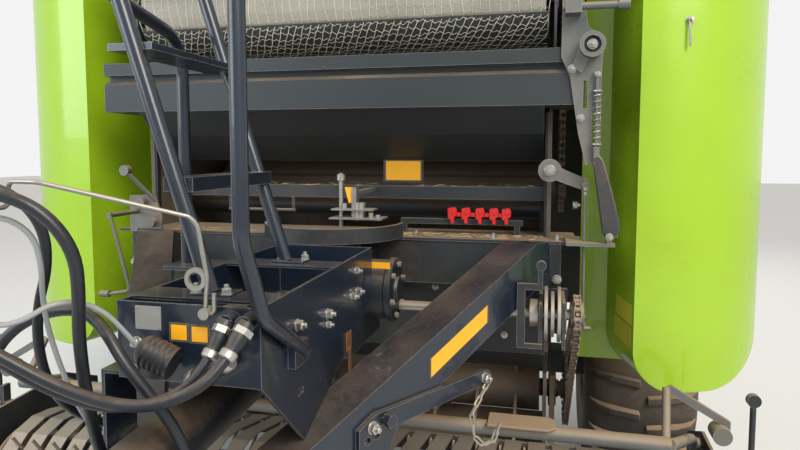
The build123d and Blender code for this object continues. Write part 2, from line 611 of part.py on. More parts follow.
# control linkages, hose holder and hoses
with BuildPart() as net_brake:
    plate_y(TRAY_FRONT - 8, TRAY_FRONT, (
        (640, 1690), (640, 1830), (692, 1830), (704, 1764), (742, 1730), (738, 1650), (738, 1430), (704, 1418),
        (684, 1500), (662, 1640)))
    for x, low, high in ((700, 1560, 1630), (722, 1470, 1550)):
        box(x - 5, x + 5, TRAY_FRONT - 10, TRAY_FRONT + 2, low, high, Mode.SUBTRACT)
    rod_y(TRAY_FRONT - 52, TRAY_FRONT - 8, 712, 1713, 31)  # cam ring with its nut
    rod_y(TRAY_FRONT - 53, TRAY_FRONT - 24, 712, 1713, 21, Mode.SUBTRACT)
    rod_y(TRAY_FRONT - 46, TRAY_FRONT - 24, 712, 1713, 11)
    plate_y(TRAY_FRONT - 20, TRAY_FRONT - 8, ((686, 1716), (708, 1690), (688, 1648), (668, 1664)))
    box(646, 684, -362, TRAY_FRONT - 8, 1788, 1824)
    rod_x(640, 795, -350, 1804, 9)
    rod_x(770, 795, -350, 1804, 13)
    rod_z(1455, 1650, 728, -318, 5)  # brake rod and its handle
    box(720, 736, -324, TRAY_FRONT - 8, 1636, 1650)
    rod_z(1420, 1462, 728, -318, 9)
    plate_y(-323, -313, ((721, 1436), (738, 1440), (786, 1238), (764, 1230)))
    rod_y(-334, -300, 764, 1238, 10)
    box(660, 700, -334, -200, CROSS_TOP + SHELF_T, CROSS_TOP + SHELF_T + 8)
    box(690, 778, -334, -300, CROSS_TOP + SHELF_T, CROSS_TOP + SHELF_T + 8)
    box(758, 770, -330, -304, CROSS_TOP + SHELF_T, 1238)
    rod_y(-262, CROSS_BACK, 617, 1402, 30)  # hub and its arm
    plate_y(-262, -254, ((610, 1424), (606, 1386), (704, 1350), (718, 1360), (714, 1378)))
    rod_y(-290, -254, 706, 1364, 7)
    bar((706, -284, 1364), (706, -300, 993), 4)
    rod_x(702, 726, -300, 993, 6)
save(net_brake, "net_brake")

with BuildPart() as net_trip:
    for x0, x1, y0, y1, z in ((26, 177, -338, -268, 1266), (30, 150, -330, -276, 1290)):
        box(x0, x1, y0, y1, z, z + 4)
    rod_z(1240, 1392, 50, -300, 6)
    rod_z(1372, 1388, 50, -300, 12)
    rod_z(1262, 1310, 105, -300, 16)
    box(84, 98, -312, -288, 1266, 1352)
    box(84, 98, -288, -100, 1330, 1342)
    for x, z in ((140, 1268), (160, 1262), (64, 1292)):
        rod_z(z, z + 16, x, -312, 7)
    plate_y(-306, -298, ((62, 1352), (84, 1352), (84, 1312), (74, 1308)))
save(net_trip, "net_trip")

with BuildPart() as side_levers:
    plate_y(CROSS_FRONT - 13, CROSS_FRONT - 5, (
        (-646, 1316), (-560, 1322), (-536, 1250), (-540, 1215), (-622, 1215), (-622, 1206), (-646, 1206)))
    bar((-612, -330, 1392), (-557, CROSS_FRONT - 9, 1300), 6)
    rod_y(-340, -320, -614, 1396, 15)
    for x, z in ((-600, 1296), (-566, 1236)):
        rod_y(CROSS_FRONT - 30, CROSS_FRONT - 12, x, z, 14)
    rod_y(-406, CROSS_FRONT - 10, -620, 1268, 7)
    bent_tube([(-620, -400, 1276), (-560, -400, 1050), (-636, -400, 1036)], 5, [14])
    rod_x(-658, -630, -400, 1037, 10)
save(side_levers, "side_levers")

with BuildPart() as hose_holder:
    rod_y(-1122, CON_F, 104, 1206, 9)
    bent_tube([(104, -1115, 1206), (108, -1115, 1262), (95, -1116, 1343), (84, -1122, 1354), (-98, -1212, 1408),
               (-152, -1206, 1408), (-154, -1206, 1371), (-154, -1326, 1371), (-154, -1328, 1404)], 3.5,
              [30, 30, 8, 30, 10, 10, 10])
    bent_tube([(104, -1115, 1206), (119, -1115, 1204), (119, -1115, 1238)], 3.5, [8])
    with BuildSketch(Plane.XZ.offset(1119)) as eye:
        with Locations((90, 1258)):
            Circle(18)
            Circle(11, mode=Mode.SUBTRACT)
    extrude(eye.sketch, amount=-6)
save(hose_holder, "hose_holder")

with BuildPart() as couplings:
    bar((84, -1125, 1100), (146, -1125, 1142), 13)
    bar((84, -1125, 1100), (96, -1125, 1108), 17)
    bar((136, -1125, 1135), (148, -1125, 1143), 17)
    bar((8, -1132, 1149), (56, -1127, 1128), 23)
    gland(GREY_LEAD[1][1::-1], 30, 8)
    for x, z in ((112, 1119), (30, 1135)):
        box(x - 12, x + 12, -1122, CON_F, z - 10, z + 10)
save(couplings, "couplings")

for name, size in (("hose_a", HOSE_A), ("hose_b", HOSE_B), ("hose_c", HOSE_C), ("grey_lead", GREY_LEAD)):
    cord(name, size)

with BuildPart() as hose_end:
    before, end = [Vector(*p) for p in HOSE_C[1][-2:]]
    along = (end - before).normalized()
    bar(end, end + along * 50, 13)
    bar(end + along * 12, end + along * 30, 16)
save(hose_end, "hose_end")

with BuildPart() as cable_coil:
    with BuildSketch(Plane.XY.offset(COIL_LOW)) as ring:
        with Locations((COIL_X, COIL_Y)):
            Ellipse(*COIL_OUT)
            Ellipse(*COIL_IN, mode=Mode.SUBTRACT)
    extrude(ring.sketch, amount=COIL_TOP - COIL_LOW)
save(cable_coil, "cable_coil")

with BuildPart() as cable_plug:
    box(COIL_X - 14, COIL_X + 14, COIL_Y - 30, COIL_Y + 20, COIL_LOW, COIL_LOW + 26)
save(cable_plug, "cable_plug")

# side hoods
def hood_shape(inset, inner):
    """The outer form of a front hood, drawn in by its inset; inner cuts run past the open sides."""
    past = 60 if inner else 0
    x = HOOD_X - inset
    nose = HOOD_NOSE_R - inset
    cx, cy = HOOD_X - HOOD_NOSE_R, HOOD_FRONT + HOOD_NOSE_R
    with BuildSketch(Plane.XY.offset(HOOD_LOW - past)) as outline:
        with BuildLine():
            Line((x, HOOD_BACK + past), (x, cy))
            RadiusArc((x, cy), (cx, cy - nose), nose)
            Line((cx, cy - nose), (HOOD_IN_X - 4 + inset, cy - nose))
            Polyline((HOOD_IN_X - 4 + inset, cy - nose), (800 + inset, 60), (HOOD_HINGE_X + 12 - past, 60),
                     (HOOD_HINGE_X + 12 - past, HOOD_BACK + past), (x, HOOD_BACK + past))
        make_face()
    extrude(outline.sketch, amount=HOOD_TOP - inset - HOOD_LOW + past)


for side, s in SIDES:
    with BuildPart() as outer:
        hood_shape(0, False)
        top = outer.edges().filter_by_position(Axis.Z, HOOD_TOP - 1, HOOD_TOP + 1)
        fillet([e for e in top if e.center().X > HOOD_HINGE_X + 60 and e.center().Y < HOOD_BACK - 1
                and e.center().X > 840], HOOD_EDGE_R)
    with BuildPart() as inner:
        hood_shape(HOOD_T, True)
        top = inner.edges().filter_by_position(Axis.Z, HOOD_TOP - HOOD_T - 1, HOOD_TOP - HOOD_T + 1)
        fillet([e for e in top if e.center().X > HOOD_HINGE_X + 60 and e.center().Y < HOOD_BACK + 50
                and e.center().X > 840], HOOD_EDGE_R - HOOD_T)
    with BuildPart() as hood:
        add(outer.part)
        add(inner.part, mode=Mode.SUBTRACT)
        with BuildSketch(Plane.XZ.offset(400)):
            with Locations((HOOD_X - 200 + 150, HOOD_LOW + 50)):
                Rectangle(300, 300)
            with Locations((HOOD_X - 200, HOOD_LOW + 200)):
                Circle(200, mode=Mode.SUBTRACT)
        extrude(amount=-2000, mode=Mode.SUBTRACT)
        plate_x(600, 1400, ((520, 700), (1200, 700), (1200, HOOD_SKIRT), (640, HOOD_SKIRT)), Mode.SUBTRACT)
        for y in HOOD_HINGE_YS:
            box(HOOD_HINGE_X - 4, HOOD_HINGE_X + 40, y - 30, y + 30, HOOD_TOP - HOOD_T, HOOD_TOP)
            rod_y(y - 30, y + 30, HOOD_HINGE_X, HOOD_HINGE_Z, 12)
        for y in HOOD_HINGE_YS:
            rod_y(y - 31, y + 31, HOOD_HINGE_X, HOOD_HINGE_Z, 6 + GAP, Mode.SUBTRACT)
    hood_part = hood.part if s > 0 else hood.part.mirror(Plane.YZ)
    hood_part.label = f"hood_{side}"
    export_step(hood_part, f"parts/hood_{side}.step")

# tailgate
gate_front = SPLIT_Y + SPLIT_GAP
with BuildPart() as gate_walls:
    for s in (1, -1):
        with BuildSketch(Plane.YZ.offset(s * WALL_IN)):
            with Locations((CH_Y, CH_Z)):
                Circle(RIM_R)
            with Locations((gate_front - 500, CH_Z)):
                Rectangle(1000, 2400, mode=Mode.SUBTRACT)
            with BuildLine():
                Polyline((gate_front, HINGE_Z - 140), (gate_front, HINGE_Z - 38), (HINGE_Y - 25, HINGE_Z - 20),
                         (HINGE_Y - 20, HINGE_Z + 40), (HINGE_Y + 40, HINGE_Z + 40), (1320, HINGE_Z - 40),
                         (1320, HINGE_Z - 140), close=True)
            make_face()
        extrude(amount=s * WALL_T)
        rod_x(s * 600, s * 640, HINGE_Y, HINGE_Z, HINGE_PIN_R + GAP, Mode.SUBTRACT)
        for a in REAR_ROLLS:  # roller bearings
            y, z = on_circle(CH_Y, CH_Z, ROLL_C, a)
            rod_x(s * WALL_OUT, s * 640, y, z, 55)
        rod_x(s * WALL_OUT, s * (CYL_X - 24), *CYL_EYE, 40)  # bosses beside the ram eyes
    arcs = []
    for r in (RIM_R - 1, RIM_R + 6):
        arcs.append([on_circle(CH_Y, CH_Z, r, a) for a in range(28, 82, 6)])
    plate_x(-WALL_OUT, WALL_OUT, arcs[0] + arcs[1][::-1])
save(gate_walls, "gate_walls")

with BuildPart() as gate_rollers:
    for angle in REAR_ROLLS:
        chamber_roller(angle)
save(gate_rollers, "gate_rollers")

with BuildPart() as gate_frame:
    for y, z in ((2150, 1745), (2075, 1180)):
        box(-WALL_OUT - 60, WALL_OUT + 60, y, y + 70, z - 35, z + 35)
    for s in (1, -1):
        for y, z in GATE_STRUTS:
            rod_x(s * WALL_OUT, s * (HOOD_X - HOOD_T), y, z, 20)
        plate_x(s * WALL_OUT, s * (WALL_OUT + 8), (
            (2050, 1120), (2145, 1120), (2220, 1710), (2220, 1800), (2070, 1800), (2070, 1500), (2050, 1450)))
    box(-1150, 1150, 2220, 2260, 1140, 1180)
    for s in (1, -1):
        box(s * 480, s * 520, 2145, 2220, 1150, 1180)
save(gate_frame, "gate_frame")

with BuildPart() as rear_lamps:
    for s in (1, -1):
        box(s * 960, s * 1140, 2260, LENGTH / 2, 1110, 1210)
save(rear_lamps, "rear_lamps")


gate_hood_profile = (
    (GATE_HOOD_FRONT, 1010), (1570, 1010), (1730, 800), (1960, 860), (2160, 1500), (1960, 2220), (1560, HOOD_TOP),
    (GATE_HOOD_FRONT, HOOD_TOP),
)
gate_hood_bends = (60, 120, 160, 300, 260, 200)
for side, s in SIDES:
    shells = []
    for inset in (0, HOOD_T):
        with BuildPart() as shell:
            with BuildSketch(Plane.YZ.offset(GATE_HOOD_IN - inset)):
                with BuildLine():
                    FilletPolyline(*gate_hood_profile, radius=list(gate_hood_bends))
                    Line(gate_hood_profile[-1], gate_hood_profile[0])
                make_face()
                if inset:
                    offset(amount=-inset)
                    with Locations((GATE_HOOD_FRONT, (1010 + HOOD_TOP) / 2)):
                        Rectangle(60, HOOD_TOP - 1010 - 2 * inset)
            extrude(amount=HOOD_X - GATE_HOOD_IN)
            rim_edges = shell.edges().filter_by_position(Axis.X, HOOD_X - inset - 1, HOOD_X - inset + 1)
            fillet([e for e in rim_edges if e.center().Y > GATE_HOOD_FRONT + 5 and e.length > 1
                    and not abs(e.center().Y - GATE_HOOD_FRONT) < 31 or e.center().Y > GATE_HOOD_FRONT + 40],
                   GATE_EDGE_R - inset)
        shells.append(shell.part)
    with BuildPart() as gate_hood:
        add(shells[0])
        add(shells[1], mode=Mode.SUBTRACT)
    hood_part = gate_hood.part if s > 0 else gate_hood.part.mirror(Plane.YZ)
    hood_part.label = f"gate_hood_{side}"
    export_step(hood_part, f"parts/gate_hood_{side}.step")

# tailgate cylinders
cyl_len = hypot(CYL_EYE[0] - CYL_BASE[0], CYL_EYE[1] - CYL_BASE[1])
cyl_dir = ((CYL_EYE[0] - CYL_BASE[0]) / cyl_len, (CYL_EYE[1] - CYL_BASE[1]) / cyl_len)


def along_cylinder(x, d):
    """The point d beyond the lower pivot of a cylinder."""
    return x, CYL_BASE[0] + cyl_dir[0] * d, CYL_BASE[1] + cyl_dir[1] * d


for side, s in SIDES:
    x = s * CYL_X
    with BuildPart() as barrel:
        rod_x(x - 18, x + 18, *CYL_BASE, CYL_EYE_R)
        bar(along_cylinder(x, 20), along_cylinder(x, BARREL_LEN), CYL_R)
        bar(along_cylinder(x, 60), along_cylinder(x, BARREL_LEN + 1), ROD_R + GAP, Mode.SUBTRACT)
        rod_x(x - 19, x + 19, *CYL_BASE, 15 + GAP, Mode.SUBTRACT)
    save(barrel, f"gate_cylinder_{side}")
    with BuildPart() as ram:
        rod_x(x - 16, x + 16, *CYL_EYE, CYL_EYE_R)
        bar(along_cylinder(x, 80), along_cylinder(x, cyl_len - 20), ROD_R)
        rod_x(x - 19, x + 19, *CYL_EYE, 16, Mode.SUBTRACT)
    save(ram, f"gate_ram_{side}")

# feed rotor and pickup
with BuildPart() as feed_rotor:
    rod_x(-600, 600, ROTOR_Y, ROTOR_Z, 80)
    rod_x(-WALL_IN + GAP, WALL_IN - GAP, ROTOR_Y, ROTOR_Z, 30)
    for k in range(9):
        x = -520 + 130 * k
        for a in range(0, 360, 120):
            c = on_circle(ROTOR_Y, ROTOR_Z, ROTOR_R, a + 12 * k)
            d = on_circle(ROTOR_Y, ROTOR_Z, 70, a + 12 * k + 40)
            e = on_circle(ROTOR_Y, ROTOR_Z, 70, a + 12 * k - 40)
            plate_x(x - 5, x + 5, (c, d, e))
save(feed_rotor, "feed_rotor")

pick_outline = (
    (-520, 260), (-570, 400), (-540, 560), (-420, 650), (-120, 670), (40, 600), (60, 330), (-60, 225), (-440, 215))
with BuildPart() as pickup_frame:
    for s in (1, -1):
        plate_x(s * PICK_X, s * (PICK_X + 8), pick_outline)
        plate_x(s * 634, s * 650, ((-70, 262), (0, 262), (300, 560), (300, 680), (200, 680), (-70, 350)))
        rod_x(s * 630, s * 656, ROTOR_Y, ROTOR_Z, 60)
        rod_x(s * 625, s * 660, ROTOR_Y, ROTOR_Z, 30 + GAP, Mode.SUBTRACT)
        box(s * (PICK_X + 8), s * (GAUGE_X - GAUGE_W / 2 - 14), GAUGE_Y - 25, GAUGE_Y + 25, 240, 300)
        box(s * (GAUGE_X - GAUGE_W / 2 - 22), s * (GAUGE_X - GAUGE_W / 2 - 10), GAUGE_Y - 25, GAUGE_Y + 25, 100, 300)
        rod_x(s * (GAUGE_X - GAUGE_W / 2 - 22), s * (GAUGE_X + GAUGE_W / 2), GAUGE_Y, GAUGE_R, 12)
        rod_x(s * 1008, s * PICK_X, GUARD_PIVOT_Y, GUARD_PIVOT_Z, 8)
        rod_x(s * (PICK_X + 8), s * (PICK_X + 20), REEL_Y, REEL_Z, 60)
        rod_x(s * PICK_X, s * (PICK_X + 20), REEL_Y, REEL_Z, 25 + GAP, Mode.SUBTRACT)
        box(s * PICK_X, s * 1122, -344, -316, 632, 646)
        rod_z(640, 846, s * 1108, -330, 7)
        rod_y(-338, -322, s * 1108, 848, 16)
        box(s * 1082, s * 1094, -344, -316, 640, 700)
    rod_x(-PICK_X, PICK_X, -36, 304, 40)
save(pickup_frame, "pickup_frame")

band_count = int(2 * REEL_X / TINE_PITCH)
band_x = [(k - (band_count - 1) / 2) * TINE_PITCH for k in range(band_count)]
band_outline = (
    [on_circle(REEL_Y, REEL_Z, BAND_R, a) for a in range(75, 286, 21)] + [(-88, 323), (-90, 328)]
    + [on_circle(REEL_Y, REEL_Z, BAND_R - 4, a) for a in range(285, 74, -21)] + [(-62, 556), (-60, 560)])
with BuildPart() as pickup_bands:
    for x in band_x:
        plate_x(x - BAND_W / 2, x + BAND_W / 2, band_outline)
    box(-PICK_X, PICK_X, -68, -60, 546, 558)
    box(-PICK_X, PICK_X, -96, -88, 314, 330)
save(pickup_bands, "pickup_bands")

with BuildPart() as pickup_reel:
    rod_x(-REEL_X - 16, REEL_X + 16, REEL_Y, REEL_Z, 40)
    rod_x(-PICK_X - 14, PICK_X + 14, REEL_Y, REEL_Z, 25)
    for s in (1, -1):
        rod_x(s * (REEL_X + 6), s * (REEL_X + 16), REEL_Y, REEL_Z, 150)
    for k in range(TINE_ROWS):
        a = 45 + 360 / TINE_ROWS * k
        y, z = on_circle(REEL_Y, REEL_Z, 120, a)
        rod_x(-REEL_X - 10, REEL_X + 10, y, z, 14)
        for x in [b + TINE_PITCH / 2 for b in band_x[:-1]]:
            y0, z0 = on_circle(REEL_Y, REEL_Z, 120, a)
            y1, z1 = on_circle(REEL_Y, REEL_Z, REEL_R, a - 6)
            d = (-(z1 - z0) / 130 * 3.5, (y1 - y0) / 130 * 3.5)
            plate_x(x - 3.5, x + 3.5, (
                (y0 - d[0], z0 - d[1]), (y1 - d[0], z1 - d[1]), (y1 + d[0], z1 + d[1]), (y0 + d[0], z0 + d[1])))
save(pickup_reel, "pickup_reel")

for side, s in SIDES:
    with BuildPart() as gauge:
        rod_x(s * (GAUGE_X - GAUGE_W / 2), s * (GAUGE_X + GAUGE_W / 2), GAUGE_Y, GAUGE_R, GAUGE_R)
        rod_x(s * (GAUGE_X - GAUGE_W / 2 - 1), s * (GAUGE_X + GAUGE_W / 2 + 1), GAUGE_Y, GAUGE_R, 12 + GAP,
              Mode.SUBTRACT)
    save(gauge, f"gauge_wheel_{side}")

with BuildPart() as crop_guard:
    rod_x(-900, 900, GUARD_Y, GUARD_Z, 18)
    for s in (1, -1):
        bar((s * 900, GUARD_Y, GUARD_Z), (s * 1000, GUARD_PIVOT_Y - 60, GUARD_PIVOT_Z + 40), 14)
        bar((s * 1000, GUARD_PIVOT_Y - 60, GUARD_PIVOT_Z + 40), (s * 1022, GUARD_PIVOT_Y, GUARD_PIVOT_Z), 12)
        rod_x(s * 1010, s * 1036, GUARD_PIVOT_Y, GUARD_PIVOT_Z, 18)
        rod_x(s * 1005, s * 1040, GUARD_PIVOT_Y, GUARD_PIVOT_Z, 8 + GAP, Mode.SUBTRACT)
        plate_y(-358, -346, [(s * x, z) for x, z in (
            (896, 868), (918, 878), (1052, 800), (1052, 764), (1036, 764), (1034, 790))])  # roller arm
        rod_y(-380, -330, s * 1030, 770, 22)
        bar((s * 906, -350, 868), (s * 890, GUARD_Y, GUARD_Z), 10)
save(crop_guard, "crop_guard")

print("done")
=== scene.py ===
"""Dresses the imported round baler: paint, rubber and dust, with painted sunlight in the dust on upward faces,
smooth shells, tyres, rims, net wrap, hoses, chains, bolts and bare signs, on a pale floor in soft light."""
import random
from math import cos, hypot, pi, radians, sin, sqrt, tan

import bmesh
import bpy
from mathutils import Matrix, Vector


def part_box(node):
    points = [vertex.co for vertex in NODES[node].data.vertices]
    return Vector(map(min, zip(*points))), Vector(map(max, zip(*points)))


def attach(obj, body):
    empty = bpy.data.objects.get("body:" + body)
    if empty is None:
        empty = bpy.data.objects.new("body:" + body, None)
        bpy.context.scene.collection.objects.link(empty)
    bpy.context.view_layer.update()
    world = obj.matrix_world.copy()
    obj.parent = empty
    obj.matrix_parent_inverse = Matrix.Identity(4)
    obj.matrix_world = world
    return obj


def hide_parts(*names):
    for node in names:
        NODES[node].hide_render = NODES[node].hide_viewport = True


bl_info = {
    "name": "Round baler dressing",
    "version": (1, 0, 0),
    "blender": (4, 5, 0),
    "location": "3D View > Sidebar > Baler",
    "description": "Finishes and small parts for a packed round baler",
    "category": "Object",
}

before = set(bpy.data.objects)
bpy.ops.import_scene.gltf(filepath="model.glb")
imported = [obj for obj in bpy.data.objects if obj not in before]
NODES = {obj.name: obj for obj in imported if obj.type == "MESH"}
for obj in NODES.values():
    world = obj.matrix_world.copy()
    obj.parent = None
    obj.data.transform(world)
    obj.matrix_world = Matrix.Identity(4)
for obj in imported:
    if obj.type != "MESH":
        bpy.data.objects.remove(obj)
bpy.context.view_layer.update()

SIDES = (("right", 1), ("left", -1))
RIGHT, BACK, FRONT, UP = (1, 0, 0), (0, 1, 0), (0, -1, 0), (0, 0, 1)

# the same places as in the part's source, in metres
HOOD_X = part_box("hood_right")[1].x
HOOD_TOP = 2.460
HOOD_LOW = 0.800
HOOD_BACK = 1.095
HOOD_FRONT = -0.200
HOOD_INNER_X = 0.718
HOOD_RETURN_X = 0.846
HOOD_STEP = (0.800, 0.060)  # where the slanted return ends
HOOD_WALL = 0.008
SKIRT_R = 0.200
SKIRT_Z = 1.000
SKIRT_START = 0.5714
SKIRT_RUN = 0.120
INNER_R = 0.110
INNER_SHARE = 0.7  # of the face's rounding, for the return behind it
CORNER_STEPS = 12
GATE_INNER_X = 0.668
GATE_FRONT = 1.125
GATE_TRIM = 0.55
GATE_RIM_R = 0.090
GATE_PROFILE = (
    (1.125, 1.010, 0), (1.570, 1.010, 0.060), (1.730, 0.800, 0.120), (1.960, 0.860, 0.160),
    (2.160, 1.500, 0.300), (1.960, 2.220, 0.260), (1.560, 2.460, 0.200), (1.125, 2.460, 0),
)  # place along the machine, height, and radius of the corner
AXLE = Vector((1.005, 1.050, 0.470))
BOX_FRONT_Y = -1.1003  # just before the console's front face
NET_AXIS = (-0.100, 1.905)
NET_R = 0.150
NET_HALF = 0.610

# routes of the hoses and leads, the same points as in the part's source
HOSE_A = (
    (0.166, -1.142, 1.170), (0.153, -1.169, 1.137), (0.123, -1.196, 1.112), (0.073, -1.216, 1.097),
    (0.006, -1.223, 1.100), (-0.065, -1.235, 1.125), (-0.132, -1.256, 1.169), (-0.199, -1.282, 1.215),
    (-0.222, -1.299, 1.286), (-0.202, -1.306, 1.350), (-0.152, -1.301, 1.392), (-0.090, -1.287, 1.400),
    (-0.035, -1.268, 1.372), (-0.006, -1.250, 1.317), (-0.013, -1.238, 1.254), (-0.036, -1.215, 1.195),
    (-0.046, -1.198, 1.128), (-0.051, -1.181, 1.060), (-0.069, -1.148, 1.002), (-0.074, -1.121, 0.946),
    (-0.074, -1.100, 0.896),
)
HOSE_B = (
    (0.136, -1.142, 1.170), (0.126, -1.167, 1.133), (0.094, -1.188, 1.103), (0.042, -1.199, 1.088),
    (-0.019, -1.207, 1.085), (-0.083, -1.220, 1.108), (-0.140, -1.242, 1.150), (-0.200, -1.256, 1.196),
    (-0.248, -1.267, 1.249), (-0.270, -1.271, 1.312), (-0.252, -1.266, 1.369), (-0.212, -1.252, 1.403),
    (-0.162, -1.234, 1.407), (-0.119, -1.216, 1.382), (-0.097, -1.202, 1.337), (-0.105, -1.192, 1.279),
    (-0.131, -1.186, 1.220), (-0.145, -1.174, 1.152), (-0.152, -1.150, 1.086), (-0.152, -1.110, 1.030),
    (-0.151, -1.058, 0.990), (-0.150, -1.005, 0.955),
)
HOSE_C = (
    (0.074, -1.100, 0.896), (0.074, -1.122, 0.949), (0.079, -1.142, 1.004), (0.065, -1.160, 1.058),
    (0.035, -1.172, 1.104), (0.007, -1.181, 1.148), (-0.023, -1.174, 1.185), (-0.062, -1.160, 1.206),
    (-0.106, -1.149, 1.209), (-0.152, -1.148, 1.201), (-0.195, -1.156, 1.181), (-0.229, -1.166, 1.146),
    (-0.246, -1.172, 1.099), (-0.250, -1.174, 1.050),
)
GREY_LEAD = (
    (-0.002, -1.133, 1.153), (-0.018, -1.149, 1.186), (-0.031, -1.170, 1.216), (-0.047, -1.199, 1.236),
    (-0.071, -1.226, 1.238), (-0.094, -1.246, 1.219), (-0.129, -1.257, 1.209), (-0.163, -1.261, 1.227),
    (-0.177, -1.267, 1.268), (-0.179, -1.273, 1.314), (-0.152, -1.275, 1.354), (-0.107, -1.266, 1.367),
    (-0.072, -1.249, 1.340), (-0.076, -1.233, 1.293), (-0.098, -1.211, 1.248), (-0.112, -1.190, 1.195),
    (-0.112, -1.171, 1.134), (-0.112, -1.147, 1.074), (-0.118, -1.113, 1.020), (-0.124, -1.079, 0.976),
    (-0.129, -1.048, 0.944), (-0.132, -1.024, 0.914),
)
COIL_CENTRE = (0.075, -0.870)
COIL_FLOOR = 1.0985


class BALER_PG_finish(bpy.types.PropertyGroup):
    """Colours and wear of the finishes."""

    hood_green: bpy.props.FloatVectorProperty(
        name="Hood green", description="Paint of the side hoods", subtype="COLOR", size=3,
        min=0, max=1, default=(0.30, 0.50, 0.012))
    frame_grey: bpy.props.FloatVectorProperty(
        name="Frame grey", description="Paint of the frame", subtype="COLOR", size=3,
        min=0, max=1, default=(0.013, 0.017, 0.020))
    # the dust colour and amount also paint warm sunlight on upward faces
    dust_and_sunlight: bpy.props.FloatVectorProperty(
        name="Dust and sunlit tops", description="Colour of dry dust and chaff", subtype="COLOR", size=3,
        min=0, max=1, default=(0.34, 0.24, 0.15))
    dust_and_sunlight_amount: bpy.props.FloatProperty(
        name="Dust amount", description="How much dust lies on the machine", subtype="FACTOR",
        min=0, max=1, default=0.55)


class BALER_PG_sizes(bpy.types.PropertyGroup):
    """Sizes of the small parts."""

    bolt_head: bpy.props.FloatProperty(
        name="Bolt head", description="Width over the flats of a bolt head", unit="LENGTH",
        min=0.008, max=0.04, default=0.019)
    net_pitch: bpy.props.FloatProperty(
        name="Net pitch", description="Room between two lengthwise threads of the net", unit="LENGTH",
        min=0.01, max=0.1, default=0.026)
    thread: bpy.props.FloatProperty(
        name="Thread", description="Thickness of a net thread", unit="LENGTH",
        min=0.0005, max=0.004, default=0.0016)


class BALER_PG_view(bpy.types.PropertyGroup):
    """The camera and the light."""

    eye: bpy.props.FloatVectorProperty(
        name="Camera place", description="Where the camera stands", subtype="TRANSLATION", unit="LENGTH",
        size=3, default=(0.60, -1.95, 1.45))
    yaw: bpy.props.FloatProperty(
        name="Yaw", description="Turn of the camera to the left", subtype="ANGLE", default=radians(13))
    pitch: bpy.props.FloatProperty(
        name="Pitch", description="Downward tilt of the camera", subtype="ANGLE", default=radians(4.5))
    lens: bpy.props.FloatProperty(
        name="Lens", description="Focal length for a 36 mm sensor, in millimetres", min=10, max=200,
        default=27.9)
    shift: bpy.props.FloatProperty(
        name="Shift", description="Upward shift of the lens, in sensor widths", default=-0.030)
    sun: bpy.props.FloatProperty(
        name="Key light", description="Strength of the key lamp, in watts", min=0, default=230)


GROUPS = {}
MATERIALS = {}


def feed(tree, socket, value):
    """Links a socket to another, or sets it to a plain number or colour."""
    if isinstance(value, bpy.types.NodeSocket):
        tree.links.new(value, socket)
    elif isinstance(value, (int, float)):
        socket.default_value = value
    else:
        socket.default_value = (*value, 1)


def add_node(tree, kind, settings=None, **inputs):
    """A shader node with its settings, and its inputs fed by sockets, numbers or colours."""
    node = tree.nodes.new(f"ShaderNode{kind}")
    for label, value in (settings or {}).items():
        setattr(node, label, value)
    for label, value in inputs.items():
        feed(tree, node.inputs[label.replace("_", " ")], value)
    return node


def math_node(tree, operation, a, b, clamp=False):
    """The result of a Math node fed by sockets or plain numbers."""
    node = add_node(tree, "Math", {"operation": operation, "use_clamp": clamp})
    feed(tree, node.inputs[0], a)
    feed(tree, node.inputs[1], b)
    return node.outputs[0]


def weighted(tree, *terms):
    """The sum of sockets, each times its weight."""
    total, *others = (math_node(tree, "MULTIPLY", value, weight) for value, weight in terms)
    for other in others:
        total = math_node(tree, "ADD", total, other)
    return total


def object_place(tree):
    """The place on the object, for a texture."""
    return add_node(tree, "TexCoord").outputs["Object"]


def noise(tree, scale, detail, rough):
    """A noise texture's value."""
    return add_node(tree, "TexNoise", Scale=scale, Detail=detail, Roughness=rough,
                    Vector=object_place(tree)).outputs["Fac"]


def ramp(tree, value, low, high):
    """Value stretched so that low gives 0 and high gives 1."""
    return add_node(tree, "MapRange", {"interpolation_type": "SMOOTHSTEP"}, From_Min=low, From_Max=high,
                    Value=value).outputs["Result"]


def mix_colour(tree, factor, a, b):
    """A colour mix; a and b are sockets or plain colours."""
    return add_node(tree, "Mix", {"data_type": "RGBA"}, Factor=factor, A=a, B=b).outputs["Result"]


def new_group(name, inputs, outputs):
    """A shader group with its named sockets, kept for all materials."""
    tree = GROUPS[name] = bpy.data.node_groups.new(name, "ShaderNodeTree")
    for label, value in inputs.items():
        tree.interface.new_socket(label, in_out="INPUT", socket_type="NodeSocketFloat").default_value = value
    for label in outputs:
        tree.interface.new_socket(label, in_out="OUTPUT", socket_type="NodeSocketFloat")
    return tree, tree.nodes.new("NodeGroupInput").outputs, tree.nodes.new("NodeGroupOutput").inputs


def place_group(tree, name, **values):
    """The outputs of a node that holds one of the shared groups."""
    return add_node(tree, "Group", {"node_tree": GROUPS[name]}, **values).outputs


def dust_and_sunlit_top_group():
    """Dust that lies on what faces up and gathers in patches; its tan on upward faces is also painted sunlight.
    """
    tree, entry, out = new_group("Dust and sunlit tops", {"Amount": 0.5, "Scale": 3.0}, ("Mask", "Grain"))
    normal = add_node(tree, "NewGeometry").outputs["Normal"]
    # faces that look up get more tan: real dust, and painted sunlight on the tops
    up = ramp(tree, add_node(tree, "SeparateXYZ", Vector=normal).outputs["Z"], -0.35, 0.95)
    patches = noise(tree, entry["Scale"], 7, 0.62)
    fine = noise(tree, 90.0, 5.0, 0.7)
    body = weighted(tree, (up, 0.75), (patches, 0.9), (fine, 0.35), (entry["Amount"], 1.1))
    feed(tree, out["Mask"], ramp(tree, body, 1.15, 2.25))
    feed(tree, out["Grain"], fine)


